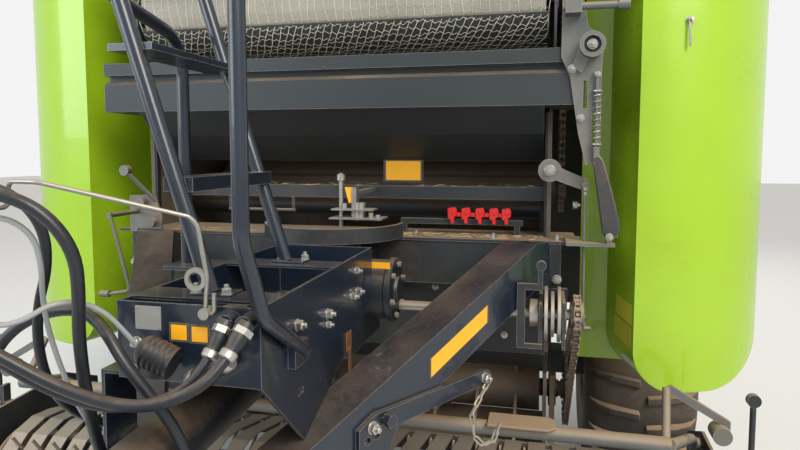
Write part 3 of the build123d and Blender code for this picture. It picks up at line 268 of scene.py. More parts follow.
def wear_group():
    """Bright rubbed edges."""
    tree, entry, out = new_group("Edge wear", {"Width": 0.003, "Amount": 0.5}, ("Mask",))
    bevel = add_node(tree, "Bevel", {"samples": 4}, Radius=entry["Width"])
    dot = add_node(tree, "VectorMath", {"operation": "DOT_PRODUCT"})
    feed(tree, dot.inputs[0], bevel.outputs[0])
    feed(tree, dot.inputs[1], add_node(tree, "NewGeometry").outputs["Normal"])
    edge = math_node(tree, "SUBTRACT", 1.0, dot.outputs["Value"], clamp=True)
    broken = noise(tree, 38.0, 6.0, 0.7)
    raised = math_node(tree, "ADD", weighted(tree, (edge, 3.0), (broken, 0.8)), entry["Amount"])
    feed(tree, out["Mask"], ramp(tree, raised, 1.25, 1.6))


def dusty_sunlit(name, colour, roughness, metallic=0.0, coat=0.0, dust_and_sunlight=0.5, wear=0.0, bare=(0.33, 0.32, 0.30),
          grain=0.15, shade=0.25):
    """A surface with shade changes, rubbed edges and dust on top; the dust on top is partly painted sunlight.
    """
    look = bpy.context.scene.baler_finish
    material = MATERIALS[name] = bpy.data.materials.new(name)
    material.use_nodes = True
    tree = material.node_tree
    shader = tree.nodes["Principled BSDF"].inputs
    for label, value in (("Roughness", roughness), ("Metallic", metallic), ("Coat Weight", coat)):
        shader[label].default_value = value
    cloud = noise(tree, 5.5, 6.0, 0.6)
    dark, light = ([min(1.0, c * (1 + change)) for c in colour] for change in (-shade, shade))
    base = mix_colour(tree, cloud, dark, light)
    rough = math_node(tree, "ADD", math_node(tree, "MULTIPLY", cloud, 0.22), roughness - 0.11)
    if wear > 0:
        base = mix_colour(tree, place_group(tree, "Edge wear", Amount=wear)["Mask"], base, bare)
    # dust mask, partly painted sunlight on upward faces
    dust_and_sunlit_top = place_group(tree, "Dust and sunlit tops", Amount=dust_and_sunlight * look.dust_and_sunlight_amount * 1.8)
    base = mix_colour(tree, dust_and_sunlit_top["Mask"], base, look.dust_and_sunlight)
    rough = math_node(tree, "ADD", rough, math_node(tree, "MULTIPLY", dust_and_sunlit_top["Mask"], 0.35), clamp=True)
    feed(tree, shader["Base Color"], base)
    feed(tree, shader["Roughness"], rough)
    if metallic > 0:
        clean = math_node(tree, "SUBTRACT", 1.0, dust_and_sunlit_top["Mask"])
        feed(tree, shader["Metallic"], math_node(tree, "MULTIPLY", clean, metallic))
    bump = add_node(tree, "Bump", Strength=grain, Distance=0.0015, Height=dust_and_sunlit_top["Grain"])
    feed(tree, shader["Normal"], bump.outputs[0])


def make_materials():
    """Every finish of the machine."""
    look = bpy.context.scene.baler_finish
    dust_and_sunlit_top_group()
    wear_group()
    # paints
    dusty_sunlit("hood_paint", look.hood_green, 0.30, coat=0.35, dust_and_sunlight=0.08, grain=0.02, shade=0.07)
    dusty_sunlit("frame_paint", look.frame_grey, 0.50, dust_and_sunlight=0.42, wear=0.35)
    dusty_sunlit("tray_paint", (0.017, 0.023, 0.026), 0.50, dust_and_sunlight=0.16, wear=0.30)
    dusty_sunlit("gear_paint", (0.010, 0.014, 0.020), 0.40, dust_and_sunlight=0.16, wear=0.30)
    dusty_sunlit("clean_paint", (0.008, 0.014, 0.027), 0.28, coat=0.35, dust_and_sunlight=0.07, wear=0.25, shade=0.15)
    dusty_sunlit("dark_paint", (0.022, 0.026, 0.031), 0.42, dust_and_sunlight=0.45, wear=0.30)
    dusty_sunlit("rim_paint", (0.60, 0.60, 0.57), 0.38, dust_and_sunlight=0.45, wear=0.3, bare=(0.22, 0.13, 0.08))
    # metals
    # painted shade: colour of the dark sheet that stands for the net roll's shaded underside
    dusty_sunlit("painted_roll_shade", (0.045, 0.052, 0.052), 0.55, dust_and_sunlight=0.20)
    # heavy dust on the rollers, partly painted warm sunlight
    dusty_sunlit("dusty_sunlit_steel", (0.16, 0.14, 0.12), 0.48, metallic=0.5, dust_and_sunlight=0.75, wear=0.5)
    dusty_sunlit("chamber_steel", (0.060, 0.052, 0.046), 0.62, metallic=0.2, dust_and_sunlight=0.6, wear=0.4)
    # the pale warm rubbed edges are partly wear and partly painted highlight
    dusty_sunlit("worn_zinc_and_edge_glint", (0.125, 0.135, 0.135), 0.42, metallic=0.6, dust_and_sunlight=0.55, wear=0.45, bare=(0.45, 0.40, 0.34),
          grain=0.35)
    dusty_sunlit("zinc", (0.36, 0.35, 0.32), 0.36, metallic=0.85, dust_and_sunlight=0.38)
    dusty_sunlit("bolt_zinc", (0.44, 0.43, 0.40), 0.32, metallic=0.9, dust_and_sunlight=0.15)
    dusty_sunlit("polished_steel", (0.60, 0.60, 0.58), 0.22, metallic=1.0, dust_and_sunlight=0.12)
    dusty_sunlit("copper", (0.55, 0.26, 0.12), 0.38, metallic=0.8, dust_and_sunlight=0.35)
    dusty_sunlit("type_plate", (0.34, 0.33, 0.32), 0.42, metallic=0.4, dust_and_sunlight=0.20)
    # rubber, cables and plastics
    dusty_sunlit("rubber", (0.012, 0.013, 0.015), 0.60, dust_and_sunlight=0.18, grain=0.3)
    dusty_sunlit("tyre_rubber", (0.018, 0.018, 0.019), 0.72, dust_and_sunlight=0.62, grain=0.5)
    dusty_sunlit("hose", (0.008, 0.010, 0.015), 0.38, dust_and_sunlight=0.06, grain=0.25)
    dusty_sunlit("black_cable", (0.012, 0.013, 0.017), 0.42, dust_and_sunlight=0.16)
    dusty_sunlit("grey_cable", (0.30, 0.32, 0.33), 0.45, dust_and_sunlight=0.25)
    dusty_sunlit("black_plastic", (0.011, 0.013, 0.017), 0.40, dust_and_sunlight=0.12)
    dusty_sunlit("red_plastic", (0.58, 0.008, 0.008), 0.28, coat=0.3, dust_and_sunlight=0.08, shade=0.1)
    dusty_sunlit("lamp_red", (0.50, 0.010, 0.008), 0.12, coat=0.6, dust_and_sunlight=0.10, shade=0.08)
    dusty_sunlit("lamp_amber", (0.85, 0.26, 0.010), 0.12, coat=0.6, dust_and_sunlight=0.08, shade=0.08)
    dusty_sunlit("sign_yellow", (0.90, 0.42, 0.010), 0.36, coat=0.2, dust_and_sunlight=0.10, shade=0.08)
    dusty_sunlit("decal_green", (0.70, 0.66, 0.060), 0.34, coat=0.2, dust_and_sunlight=0.15, shade=0.08)
    # net and straw
    dusty_sunlit("net_thread", (0.82, 0.74, 0.60), 0.60, dust_and_sunlight=0.15)
    dusty_sunlit("net_wrap", (0.36, 0.34, 0.29), 0.70, dust_and_sunlight=0.25, grain=0.5)
    dusty_sunlit("straw", (0.46, 0.33, 0.17), 0.8, dust_and_sunlight=0.2, shade=0.4)


# which nodes of the part wear each finish
FINISHED = {
    "frame_paint": "arc_guard axle cross_beam gate_frame net_lid pickup_frame pulley_bracket top_frame",
    "clean_paint": "console drawbar_beams handrails ladder tongue",
    "hood_paint": "gate_hood_left gate_hood_right hood_left hood_right",
    "dark_paint": "gate_cylinder_left gate_cylinder_right net_feed",
    "tray_paint": "net_tray",
    "gear_paint": "gearbox",
    "rim_paint": "rim_left rim_right",
    "worn_zinc_and_edge_glint": "crop_guard net_brake side_levers",
    "zinc": "cross_shaft hose_end hose_holder net_trip parking_stand pickup_bands",
    "dusty_sunlit_steel": "drive_chains feed_rotor front_rollers gate_rollers hitch_eye pickup_reel",
    "chamber_steel": "gate_walls side_walls",
    "polished_steel": "gate_ram_left gate_ram_right",
    "rubber": "gauge_wheel_left gauge_wheel_right",
    "tyre_rubber": "tyre_left tyre_right",
    "grey_cable": "cable_coil grey_lead",
    "hose": "hose_a hose_b hose_c",
    "black_plastic": "cable_plug couplings pto_shaft",
    "red_plastic": "red_clips",
    "lamp_red": "rear_lamps",
    "net_wrap": "net_roll",
}


class BALER_OT_finishes(bpy.types.Operator):
    """Give every carried-over node its finish."""

    bl_idname = "baler.finishes"
    bl_label = "Finishes"

    def execute(self, context):
        make_materials()
        node_finish = {node: finish for finish, nodes in FINISHED.items() for node in nodes.split()}
        for node, obj in NODES.items():
            obj.data.materials.clear()
            obj.data.materials.append(MATERIALS[node_finish[node]])
        return {"FINISHED"}


def add_object(name, data):
    """A linked object that holds the data."""
    obj = bpy.data.objects.new(name, data)
    bpy.context.scene.collection.objects.link(obj)
    return obj


def new_piece(bm, name, body, finish):
    """Turns a bmesh into a finished piece that rides on a body."""
    bmesh.ops.remove_doubles(bm, verts=bm.verts, dist=1e-6)
    bmesh.ops.recalc_face_normals(bm, faces=bm.faces)
    mesh = bpy.data.meshes.new(name)
    bm.to_mesh(mesh)
    bm.free()
    for polygon in mesh.polygons:
        polygon.use_smooth = True
    mesh.set_sharp_from_angle(angle=radians(35))
    piece = add_object(name, mesh)
    mesh.materials.append(MATERIALS[finish])
    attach(piece, body)
    return piece


def join(bm, part):
    """Adds a finished form to another and frees it."""
    bmesh.ops.recalc_face_normals(part, faces=part.faces)
    mesh = bpy.data.meshes.new("form")
    part.to_mesh(mesh)
    part.free()
    bm.from_mesh(mesh)
    bpy.data.meshes.remove(mesh)


def corner_edges(bm, x=None, y=None, z=None):
    """Edges that lie wholly at the given coordinates."""
    wanted = [(k, value) for k, value in enumerate((x, y, z)) if value is not None]
    return [e for e in bm.edges if all(abs(v.co[k] - value) < 1e-5 for v in e.verts for k, value in wanted)]


def near(a, b):
    """Whether two places are the same but for a tenth of a millimetre."""
    return abs(a - b) < 1e-4


def middle(edge):
    """The middle of an edge."""
    return (edge.verts[0].co + edge.verts[1].co) / 2


def round_edges(bm, edges, offset, segments=1):
    """Chamfers edges, or rounds them with more than one segment."""
    bmesh.ops.bevel(bm, geom=edges, offset=offset, segments=segments, profile=0.5, affect="EDGES", material=-1)


def slice_form(bm, point, normal, clear=False):
    """Cuts a form along a plane, and takes away what lies outside if asked."""
    bmesh.ops.bisect_plane(bm, geom=bm.verts[:] + bm.edges[:] + bm.faces[:], plane_co=point, plane_no=normal,
                           clear_outer=clear)


def block_from_outline(points, axis, low, high):
    """A solid from a flat outline: axis is the one that the outline is drawn across."""
    bm = bmesh.new()
    corners = []
    for a, b in points:
        place = [a, b]
        place.insert(axis, low)
        corners.append(bm.verts.new(place))
    floor = bm.faces.new(corners)
    raised = bmesh.ops.extrude_face_region(bm, geom=[floor])["geom"]
    shift = [0, 0, 0]
    shift[axis] = high - low
    bmesh.ops.translate(bm, vec=shift, verts=[g for g in raised if isinstance(g, bmesh.types.BMVert)])
    return bm


def drop_faces(bm, test):
    """Opens a form by taking away the faces whose middle passes the test."""
    bmesh.ops.delete(bm, geom=[f for f in bm.faces if test(f.calc_center_median())], context="FACES")


def give_wall(piece, thickness):
    """A wall inside the form, with a fine rounded rim."""
    wall = piece.modifiers.new("wall", "SOLIDIFY")
    wall.thickness = thickness
    wall.offset = -1
    rim = piece.modifiers.new("rim", "BEVEL")
    rim.width = 0.0015
    rim.segments = 2
    rim.limit_method = "ANGLE"
    rim.angle_limit = radians(50)


def mirrored(bm, sign):
    """The same form on the other side for a sign of -1."""
    if sign < 0:
        bmesh.ops.scale(bm, vec=(-1, 1, 1), verts=bm.verts)


def around(y, z, radius, turn):
    """The point at an angle on a circle about an axis that lies across the machine."""
    return y + radius * cos(turn), z + radius * sin(turn)


def skin(bm, rings):
    """Joins rings of corners into a closed form; a ring may be a single point."""
    steps = max(len(ring) for ring in rings)
    for one, two in zip(rings, rings[1:]):
        for k in range(steps):
            corners = [one[k % len(one)], one[(k + 1) % len(one)], two[(k + 1) % len(two)], two[k % len(two)]]
            corners = list(dict.fromkeys(corners))
            if len(corners) > 2:
                bm.faces.new(corners)
    for ring in (rings[0], rings[-1]):
        if len(ring) > 1:
            bm.faces.new(ring)


def add_lathe(bm, profile, base, axis, steps=20):
    """Adds a turned form: pairs of place along the axis and radius, about an axis through base."""
    turn = Vector((0, 0, 1)).rotation_difference(Vector(axis).normalized()).to_matrix().to_4x4()
    place = Matrix.Translation(base) @ turn
    rings = []
    for along, radius in profile:
        count = steps if radius > 1e-6 else 1
        rings.append([bm.verts.new(place @ Vector((radius * cos(2 * pi * k / steps),
                                                   radius * sin(2 * pi * k / steps), along)))
                      for k in range(count)])
    skin(bm, rings)


def add_bolt(bm, base, axis, size, stub=0.35):
    """Adds a hexagon head on a washer, with the end of its thread; size is the width over the flats."""
    axis = Vector(axis).normalized()
    base = Vector(base)
    add_lathe(bm, ((-0.001, 0.68 * size), (0.10 * size, 0.68 * size), (0.13 * size, 0.64 * size)), base, axis,
              18)
    base += axis * 0.13 * size
    add_lathe(bm, ((0, 0.577 * size), (0.48 * size, 0.577 * size), (0.56 * size, 0.50 * size)), base, axis, 6)
    if stub:
        add_lathe(bm, ((0.5 * size, 0.30 * size), ((0.56 + stub) * size, 0.30 * size),
                       ((0.62 + stub) * size, 0.25 * size)), base, axis, 10)


def add_bolt_ring(bm, centre, radius, count, start, size, stub=0):
    """Adds bolts at even steps on a circle about an axis that lies across the machine."""
    x, y, z = centre
    for k in range(count):
        add_bolt(bm, (x, *around(y, z, radius, 2 * pi * k / count + start)), RIGHT, size, stub)


def add_block(bm, low, high, chamfer=0.0015):
    """Adds a block between two corners, with fine chamfers."""
    part = bmesh.new()
    bmesh.ops.create_cube(part, size=1)
    for v in part.verts:
        v.co = [low[k] + (v.co[k] + 0.5) * (high[k] - low[k]) for k in range(3)]
    if chamfer:
        round_edges(part, part.edges[:], chamfer)
    join(bm, part)


def rounded_line(points, radius):
    """The centre line of a bent tube: straight runs with an arc at each corner."""
    line = [points[0]]
    for a, b, c in zip(points, points[1:], points[2:]):
        back, ahead = (a - b).normalized(), (c - b).normalized()
        turn = pi - back.angle(ahead)
        centre = b + (back + ahead).normalized() * radius / cos(turn / 2)
        start = b + back * radius * tan(turn / 2) - centre
        axis = back.cross(ahead).normalized()
        count = max(2, round(20 * turn / (2 * pi)))
        line += [centre + Matrix.Rotation(-turn * k / count, 3, axis) @ start for k in range(count + 1)]
    return line + [points[-1]]


def add_sweep(bm, line, radius, steps=12):
    """Adds a round tube along a line."""
    line = [Vector(p) for p in line]
    ways = [(b - a).normalized() for a, b in zip(line, line[1:])]
    ways = [ways[0]] + [(a + b).normalized() for a, b in zip(ways, ways[1:])] + [ways[-1]]
    side = ways[0].orthogonal().normalized()
    rings = []
    for point, way in zip(line, ways):
        side = (side - way * side.dot(way)).normalized()
        other = way.cross(side)
        rings.append([bm.verts.new(point + (side * cos(2 * pi * n / steps) + other * sin(2 * pi * n / steps))
                                   * radius) for n in range(steps)])
    skin(bm, rings)


def add_outline(bm, points, axis, low, high, chamfer=0.0):
    """Adds a plate from a flat outline, drawn across an axis."""
    part = block_from_outline(points, axis, low, high)
    if chamfer:
        round_edges(part, part.edges[:], chamfer)
    join(bm, part)


def spun(section, steps):
    """A ring about an axis that lies across the machine, from (radius, place across) points."""
    bm = bmesh.new()
    ring = [bm.verts.new((x, 0, r)) for r, x in section]
    edges = [bm.edges.new(pair) for pair in zip(ring, ring[1:] + ring[:1])]
    bmesh.ops.spin(bm, geom=ring + edges, cent=(0, 0, 0), axis=RIGHT, dvec=(0, 0, 0), angle=2 * pi, steps=steps,
                   use_merge=True, use_duplicate=False)
    return bm


def new_cord(name, route, diameter, length, finish, slot, node, **facts):
    """A hose or lead as one smooth spline over its route, which stands for its plain tube."""
    curve = bpy.data.curves.new(name, "CURVE")
    curve.dimensions = "3D"
    spline = curve.splines.new("NURBS")
    spline.points.add(len(route) - 1)
    for point, place in zip(spline.points, route):
        point.co = (*place, 1)
    spline.order_u = 3
    spline.use_endpoint_u = True
    spline.resolution_u = 5
    curve.bevel_depth = diameter / 2
    curve.bevel_resolution = 3
    curve.use_fill_caps = True
    cord = add_object(name, curve)
    curve.materials.append(MATERIALS[finish])
    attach(cord, "frame")
    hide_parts(node)


def coil_route(turns, layers, pitch):
    """The control lead from its gland: wound in columns, layer on layer, and in to its plug."""
    x0, y0 = COIL_CENTRE
    route = [(x0 - 0.0943, y0, COIL_FLOOR + 0.015), (x0 - 0.0925, y0 + 0.010, COIL_FLOOR + 0.013)]
    per_turn = 14
    for k in range(3, turns * layers * per_turn - 2):
        lap, step = divmod(k, per_turn)
        layer, column = divmod(lap, turns)
        ease = max(0.0, (step - 9) / 4)
        last = column == turns - 1
        place = column if layer % 2 == 0 else turns - 1 - column
        place += 0 if last else (ease if layer % 2 == 0 else -ease)
        height = layer + (ease if last else 0)
        angle = pi - 2 * pi * k / per_turn
        loose = 0.0022 * sin(2 * angle + 0.7) + 0.0018 * sin(3 * angle)
        a, b = 0.0875 - pitch * place + loose, 0.1085 - pitch * place - loose
        route.append((x0 + a * cos(angle) + 0.0016 * sin(2.1 * height), y0 + b * sin(angle),
                      COIL_FLOOR + pitch * height))
    top = route[-1][2]
    return route + [(x0 - 0.050, y0 + 0.052, top - 0.002), (x0 - 0.022, y0 + 0.066, top - 0.010),
                    (x0 + 0.004, y0 + 0.062, top - 0.026), (x0 + 0.004, y0 + 0.044, COIL_FLOOR + 0.016),
                    (x0, y0 + 0.020, COIL_FLOOR + 0.008)]


class BALER_OT_cords(bpy.types.Operator):
    """Hoses, leads and the coil of the control lead."""

    bl_idname = "baler.cords"
    bl_label = "Hoses and leads"

    def execute(self, context):
        for name, route, diameter, length, finish, slot, far in (
            ("hose_a", HOSE_A, 0.018, 1.303, "hose", "rubber", "object"),
            ("hose_b", HOSE_B, 0.015, 1.292, "hose", "rubber", "object"),
            ("hose_c", HOSE_C, 0.018, 0.663, "hose", "rubber", "connector"),
            ("grey_lead", GREY_LEAD, 0.008, 0.978, "grey_cable", "grey_plastic", "object"),
        ):
            new_cord(f"{name}_line", route, diameter, length, finish, slot, name, far_end=far,
                     stiffness="medium", lay="hanging",
                     with_pieces=[NODES["hose_end"]] if far == "connector" else [])
        new_cord("control_lead_coil", coil_route(3, 5, 0.0112), 0.009, 8.17, "black_cable", "grey_plastic",
                 "cable_coil", far_end="plug", stiffness="medium", lay="coiled",
                 with_pieces=[NODES["cable_plug"]])
        return {"FINISHED"}


class BALER_OT_side_hoods(bpy.types.Operator):
    """Smooth green hoods over the drives, with their stiffening lips."""

    bl_idname = "baler.side_hoods"
    bl_label = "Side hoods"

    nose: bpy.props.FloatProperty(name="Nose", description="Radius of the front corner", unit="LENGTH",
                                  default=0.350)
    edge: bpy.props.FloatProperty(name="Edge", description="Radius along the top", unit="LENGTH", default=0.130)

    def execute(self, context):
        for side, sign in SIDES:
            plan = [(HOOD_X, HOOD_BACK), (HOOD_X, HOOD_FRONT), (HOOD_RETURN_X, HOOD_FRONT), HOOD_STEP,
                    (HOOD_INNER_X, HOOD_STEP[1]), (HOOD_INNER_X, HOOD_BACK)]
            bm = block_from_outline(plan, 2, HOOD_LOW, HOOD_TOP)
            round_edges(bm, corner_edges(bm, x=HOOD_X, y=HOOD_FRONT), self.nose, 24)
            rim = [e for e in corner_edges(bm, z=HOOD_TOP)
                   if middle(e).x > HOOD_RETURN_X + 0.002 and middle(e).y < HOOD_BACK - 0.001]
            round_edges(bm, rim, self.edge, 12)
            skirt_corner(bm)
            inner_corner(bm, self.nose)
            drop_faces(bm, lambda m: m.z < HOOD_LOW + 0.001 or near(m.y, HOOD_BACK) or near(m.x, HOOD_INNER_X))
            wheel_cut(bm)
            mirrored(bm, sign)
            hood = new_piece(bm, f"hood_shell_{side}", f"hood_{side}", "hood_paint")
            give_wall(hood, HOOD_WALL)
            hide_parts(f"hood_{side}")
        return {"FINISHED"}


def skirt_corner(bm):
    """Rounds the lower outer corner of a front hood."""
    centre = Vector((HOOD_X - SKIRT_R, 0, HOOD_LOW + SKIRT_R))
    for k in range(CORNER_STEPS):
        turn = radians(90 * (k + 0.5) / CORNER_STEPS)
        out = Vector((sin(turn), 0, -cos(turn)))
        slice_form(bm, centre + out * SKIRT_R, out, clear=True)


def inner_corner(bm, nose):
    """Rounds the lower inner corner of a front hood's face."""
    for k in range(CORNER_STEPS):
        level = HOOD_LOW + INNER_R * (1 - sin(radians(90 * k / CORNER_STEPS)))
        if level > HOOD_LOW + 0.0005:
            slice_form(bm, (0, 0, level), UP)
    low = [v for v in bm.verts if v.co.z < HOOD_LOW + INNER_R]
    for v in low:
        fall = HOOD_LOW + INNER_R - v.co.z
        shift = INNER_R - sqrt(max(0.0, INNER_R ** 2 - fall ** 2))
        edge = HOOD_RETURN_X + shift
        if v.co.y < HOOD_FRONT + 0.050 and v.co.x < edge:
            v.co.x = edge
            v.co.y = HOOD_FRONT + nose - sqrt(nose ** 2 - max(0.0, edge - HOOD_X + nose) ** 2)
        elif near(v.co.x, HOOD_STEP[0]) and near(v.co.y, HOOD_STEP[1]):
            v.co.x += INNER_SHARE * shift
    bmesh.ops.remove_doubles(bm, verts=low, dist=0.0002)


def wheel_cut(bm):
    """Lifts the hood's lower edge over the wheel."""
    start = Vector((0, SKIRT_START, HOOD_LOW))
    normal = Vector((0, SKIRT_Z - HOOD_LOW, -SKIRT_RUN))
    slice_form(bm, (0, 0, SKIRT_Z), UP)
    slice_form(bm, start, normal)
    drop_faces(bm, lambda m: m.z < SKIRT_Z and (m - start).dot(normal) > 0)


class BALER_OT_gate_hoods(bpy.types.Operator):
    """Smooth green covers beside the tailgate."""

    bl_idname = "baler.gate_hoods"
    bl_label = "Tailgate hoods"

    def execute(self, context):
        for side, sign in SIDES:
            bm = block_from_outline([(y, z) for y, z, r in GATE_PROFILE], 0, GATE_INNER_X, HOOD_X)
            for y, z, r in GATE_PROFILE:
                if r:
                    round_edges(bm, corner_edges(bm, y=y, z=z), r * GATE_TRIM, 10)
            round_edges(bm, [e for e in corner_edges(bm, x=HOOD_X) if middle(e).y > GATE_FRONT + 0.001],
                        GATE_RIM_R, 8)
            drop_faces(bm, lambda m: near(m.x, GATE_INNER_X) or near(m.y, GATE_FRONT))
            mirrored(bm, sign)
            hood = new_piece(bm, f"gate_cover_{side}", "tailgate", "hood_paint")
            give_wall(hood, HOOD_WALL)
            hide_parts(f"gate_hood_{side}")
        return {"FINISHED"}


TYRE_HALF = (
    (0.219, 0.190), (0.223, 0.205), (0.262, 0.214), (0.300, 0.220), (0.345, 0.2205), (0.385, 0.215),
    (0.412, 0.202), (0.430, 0.184), (0.441, 0.150), (0.446, 0.090),
)  # radius and place across the tyre, from the bead to the tread
TYRE_SECTION = [(r, -x) for r, x in TYRE_HALF] + [(0.448, 0.0)] + list(reversed(TYRE_HALF))
TYRE_STEPS = 88
TYRE_LUGS = 22
LUG_STATIONS = ((0.014, 0.420, -0.022, 0.014, 0.470), (0.120, 0.418, -0.004, 0.030, 0.469),
                (0.178, 0.404, 0.006, 0.040, 0.452), (0.203, 0.385, 0.012, 0.044, 0.418))


def lug_form(sign, turn):
    """One tread bar: a slanted block that tapers outwards and bends down over the shoulder."""
    bm = bmesh.new()
    rings = [[bm.verts.new((sign * x, y, z))
              for y, z in ((a - 0.004, low), (b + 0.004, low), (b - 0.004, top), (a + 0.004, top))]
             for x, low, a, b, top in LUG_STATIONS]
    skin(bm, rings)
    bmesh.ops.recalc_face_normals(bm, faces=bm.faces)
    round_edges(bm, [e for e in bm.edges if all(v.co.z > 0.41 for v in e.verts)], 0.003)
    bmesh.ops.rotate(bm, cent=(0, 0, 0), matrix=Matrix.Rotation(turn, 3, "X"), verts=bm.verts)
    return bm


class BALER_OT_tyres(bpy.types.Operator):
    """Round tyres with tread bars and moulded side rings."""

    bl_idname = "baler.tyres"
    bl_label = "Tyres"

    def execute(self, context):
        for side, sign in SIDES:
            bm = bmesh.new()
            join(bm, spun(TYRE_SECTION, TYRE_STEPS))
            for k in range(TYRE_LUGS):
                for hand, half in ((-1, 0.0), (1, 0.5)):
                    join(bm, lug_form(hand, 2 * pi / TYRE_LUGS * (k + half)))
            bmesh.ops.translate(bm, vec=(sign * AXLE.x, AXLE.y, AXLE.z), verts=bm.verts)
            tyre = new_piece(bm, f"tyre_tread_{side}", f"wheel_{side}", "tyre_rubber")
            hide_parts(f"tyre_{side}")
        return {"FINISHED"}


# where the right-hand drawbar beam's outer face lies: a point s metres along it from its front
BEAM_ALONG = Vector((0.526, 0.880, 0)).normalized()
BEAM_OUTWARD = BEAM_ALONG.cross(Vector(UP))
BEAM_FOOT = Vector((0.032, -1.150, 0)) + BEAM_OUTWARD * 0.050


def on_beam(s, z, out=0.0):
    """A point on the outer face of the right-hand drawbar beam."""
    return BEAM_FOOT + BEAM_ALONG * s + BEAM_OUTWARD * out + Vector((0, 0, z))


def add_panel(bm, corners, thickness, normal):
    """Adds a thin plate on four corners that faces along the normal."""
    rise = Vector(normal).normalized() * thickness
    skin(bm, [[bm.verts.new(Vector(c) + shift) for c in corners] for shift in (Vector(), rise)])


def inset_corners(corners, margin):
    """The corners of a panel, drawn in towards its middle."""
    corners = [Vector(c) for c in corners]
    centre = sum(corners, Vector()) / 4
    return [c + (centre - c).normalized() * margin for c in corners]


def flat_sign(x0, x1, z0, z1, y):
    """Corners of an upright sign that faces the front."""
    return [(x0, y, z0), (x1, y, z0), (x1, y, z1), (x0, y, z1)]


class BALER_OT_signs(bpy.types.Operator):
    """Blank signs, stickers and the bare type plate."""

    bl_idname = "baler.signs"
    bl_label = "Signs"

    def execute(self, context):
        yellow, backing, holder, plate, decals = (bmesh.new() for _ in range(5))
        for corners, normal in (
            ([on_beam(0.578, 0.968), on_beam(0.787, 1.050), on_beam(0.787, 1.092), on_beam(0.578, 1.010)],
             BEAM_OUTWARD),
            (flat_sign(0.032, 0.066, 1.154, 1.184, BOX_FRONT_Y), FRONT),
            (flat_sign(0.068, 0.102, 1.153, 1.183, BOX_FRONT_Y), FRONT),
            (flat_sign(0.170, 0.236, 1.158, 1.176, -0.4625), FRONT),
            (flat_sign(0.121, 0.238, 1.362, 1.425, -0.0842), FRONT),
        ):
            add_panel(backing, corners, 0.0007, normal)
            add_panel(yellow, inset_corners(corners, 0.0045), 0.0012, normal)
        new_piece(yellow, "blank_signs", "frame", "sign_yellow")
        new_piece(backing, "sign_backings", "frame", "dark_paint")
        add_block(holder, (0.116, -0.0840, 1.356), (0.243, -0.0800, 1.436), 0.0008)
        add_block(holder, (0.170, -0.0820, 1.426), (0.190, -0.0700, 1.4500), 0.0008)
        new_piece(holder, "sign_holder", "frame", "frame_paint")
        add_panel(plate, flat_sign(-0.028, 0.018, 1.170, 1.208, BOX_FRONT_Y), 0.0010, FRONT)
        for x in (-0.025, 0.015):
            for z in (1.173, 1.205):
                add_lathe(plate, ((0, 0.0022), (0.0022, 0.0016)), (x, -1.1010, z), FRONT, 8)
        new_piece(plate, "type_plate", "frame", "type_plate")
        slope = -0.1724
        for y0, y1, z0, z1 in ((-0.186, -0.040, 0.976, 1.034), (-0.186, -0.028, 0.912, 0.970)):
            corners = [(HOOD_RETURN_X - 0.0009 + slope * (y + 0.2), y, z)
                       for y, z in ((y1, z0), (y0, z0), (y0, z1), (y1, z1))]
            add_panel(decals, corners, 0.0009, (-0.985, -0.170, 0))
        new_piece(decals, "blank_decals", "hood_right", "decal_green")
        return {"FINISHED"}


BOLTS = (
    # console and its seats
    (FRONT, 0.014, (-0.026, -1.100, 1.148), (-0.036, -1.100, 1.104)),
    (RIGHT, 0.017, (0.187, -0.958, 1.150), (0.187, -0.803, 1.130), (0.187, -0.600, 1.130),
     (0.187, -0.642, 1.128)),
    (RIGHT, 0.015, (0.187, -0.610, 1.180)),
    (RIGHT, 0.013, (0.187, -0.803, 1.108)),
    (UP, 0.015, *((x, y, 1.220) for x in (0.048, 0.102) for y in (-1.046, -0.706))),
    # cross beam, front sheet and shelf
    (FRONT, 0.019, *((sign * x, -0.260, z) for sign in (1, -1) for x, z in ((0.605, 1.172), (0.640, 1.110)))),
    (FRONT, 0.015, *((x, -0.192, z) for x in (0.300, 0.500) for z in (1.060, 0.930))),
    (UP, 0.015, (0.640, -0.240, 1.213), (0.470, -0.245, 1.213), (-0.470, -0.245, 1.213),
     (0.250, -0.230, 1.213)),
    # net brake and its hub
    (FRONT, 0.017, (0.668, -0.308, 1.660)),
    (FRONT, 0.015, (0.690, -0.308, 1.536)),
    (FRONT, 0.019, (0.712, -0.346, 1.713)),
    (FRONT, 0.022, (0.617, -0.262, 1.402)),
    (FRONT, 0.013, (0.764, -0.334, 1.238)),
    (FRONT, 0.011, (0.728, -0.324, 1.643)),
    # gearbox cover
    (FRONT, 0.013, *((x, -0.462, z) for x in (-0.130, 0.130) for z in (1.090, 1.165))),
    (FRONT, 0.015, *((x, -0.540, z) for x in (-0.130, 0.130) for z in (0.970, 1.060))),
)


class BALER_OT_bolts(bpy.types.Operator):
    """Bolts and nuts on the frame."""

    bl_idname = "baler.bolts"
    bl_label = "Bolts"

    def execute(self, context):
        size = context.scene.baler_sizes.bolt_head
        bm = bmesh.new()
        for axis, width, *places in BOLTS:
            for place in places:
                add_bolt(bm, place, axis, width)
        for s, z in ((0.400, 0.922), (0.762, 0.924)):
            add_bolt(bm, on_beam(s, z, 0.010), BEAM_OUTWARD, size)
        for sign in (1, -1):
            for x, y, z in ((0.690, -0.010, 1.290), (0.690, 0.300, 2.300)):
                add_bolt(bm, (sign * x, y, z), (sign, 0, 0), size)
        new_piece(bm, "frame_bolts", "frame", "bolt_zinc")
        return {"FINISHED"}


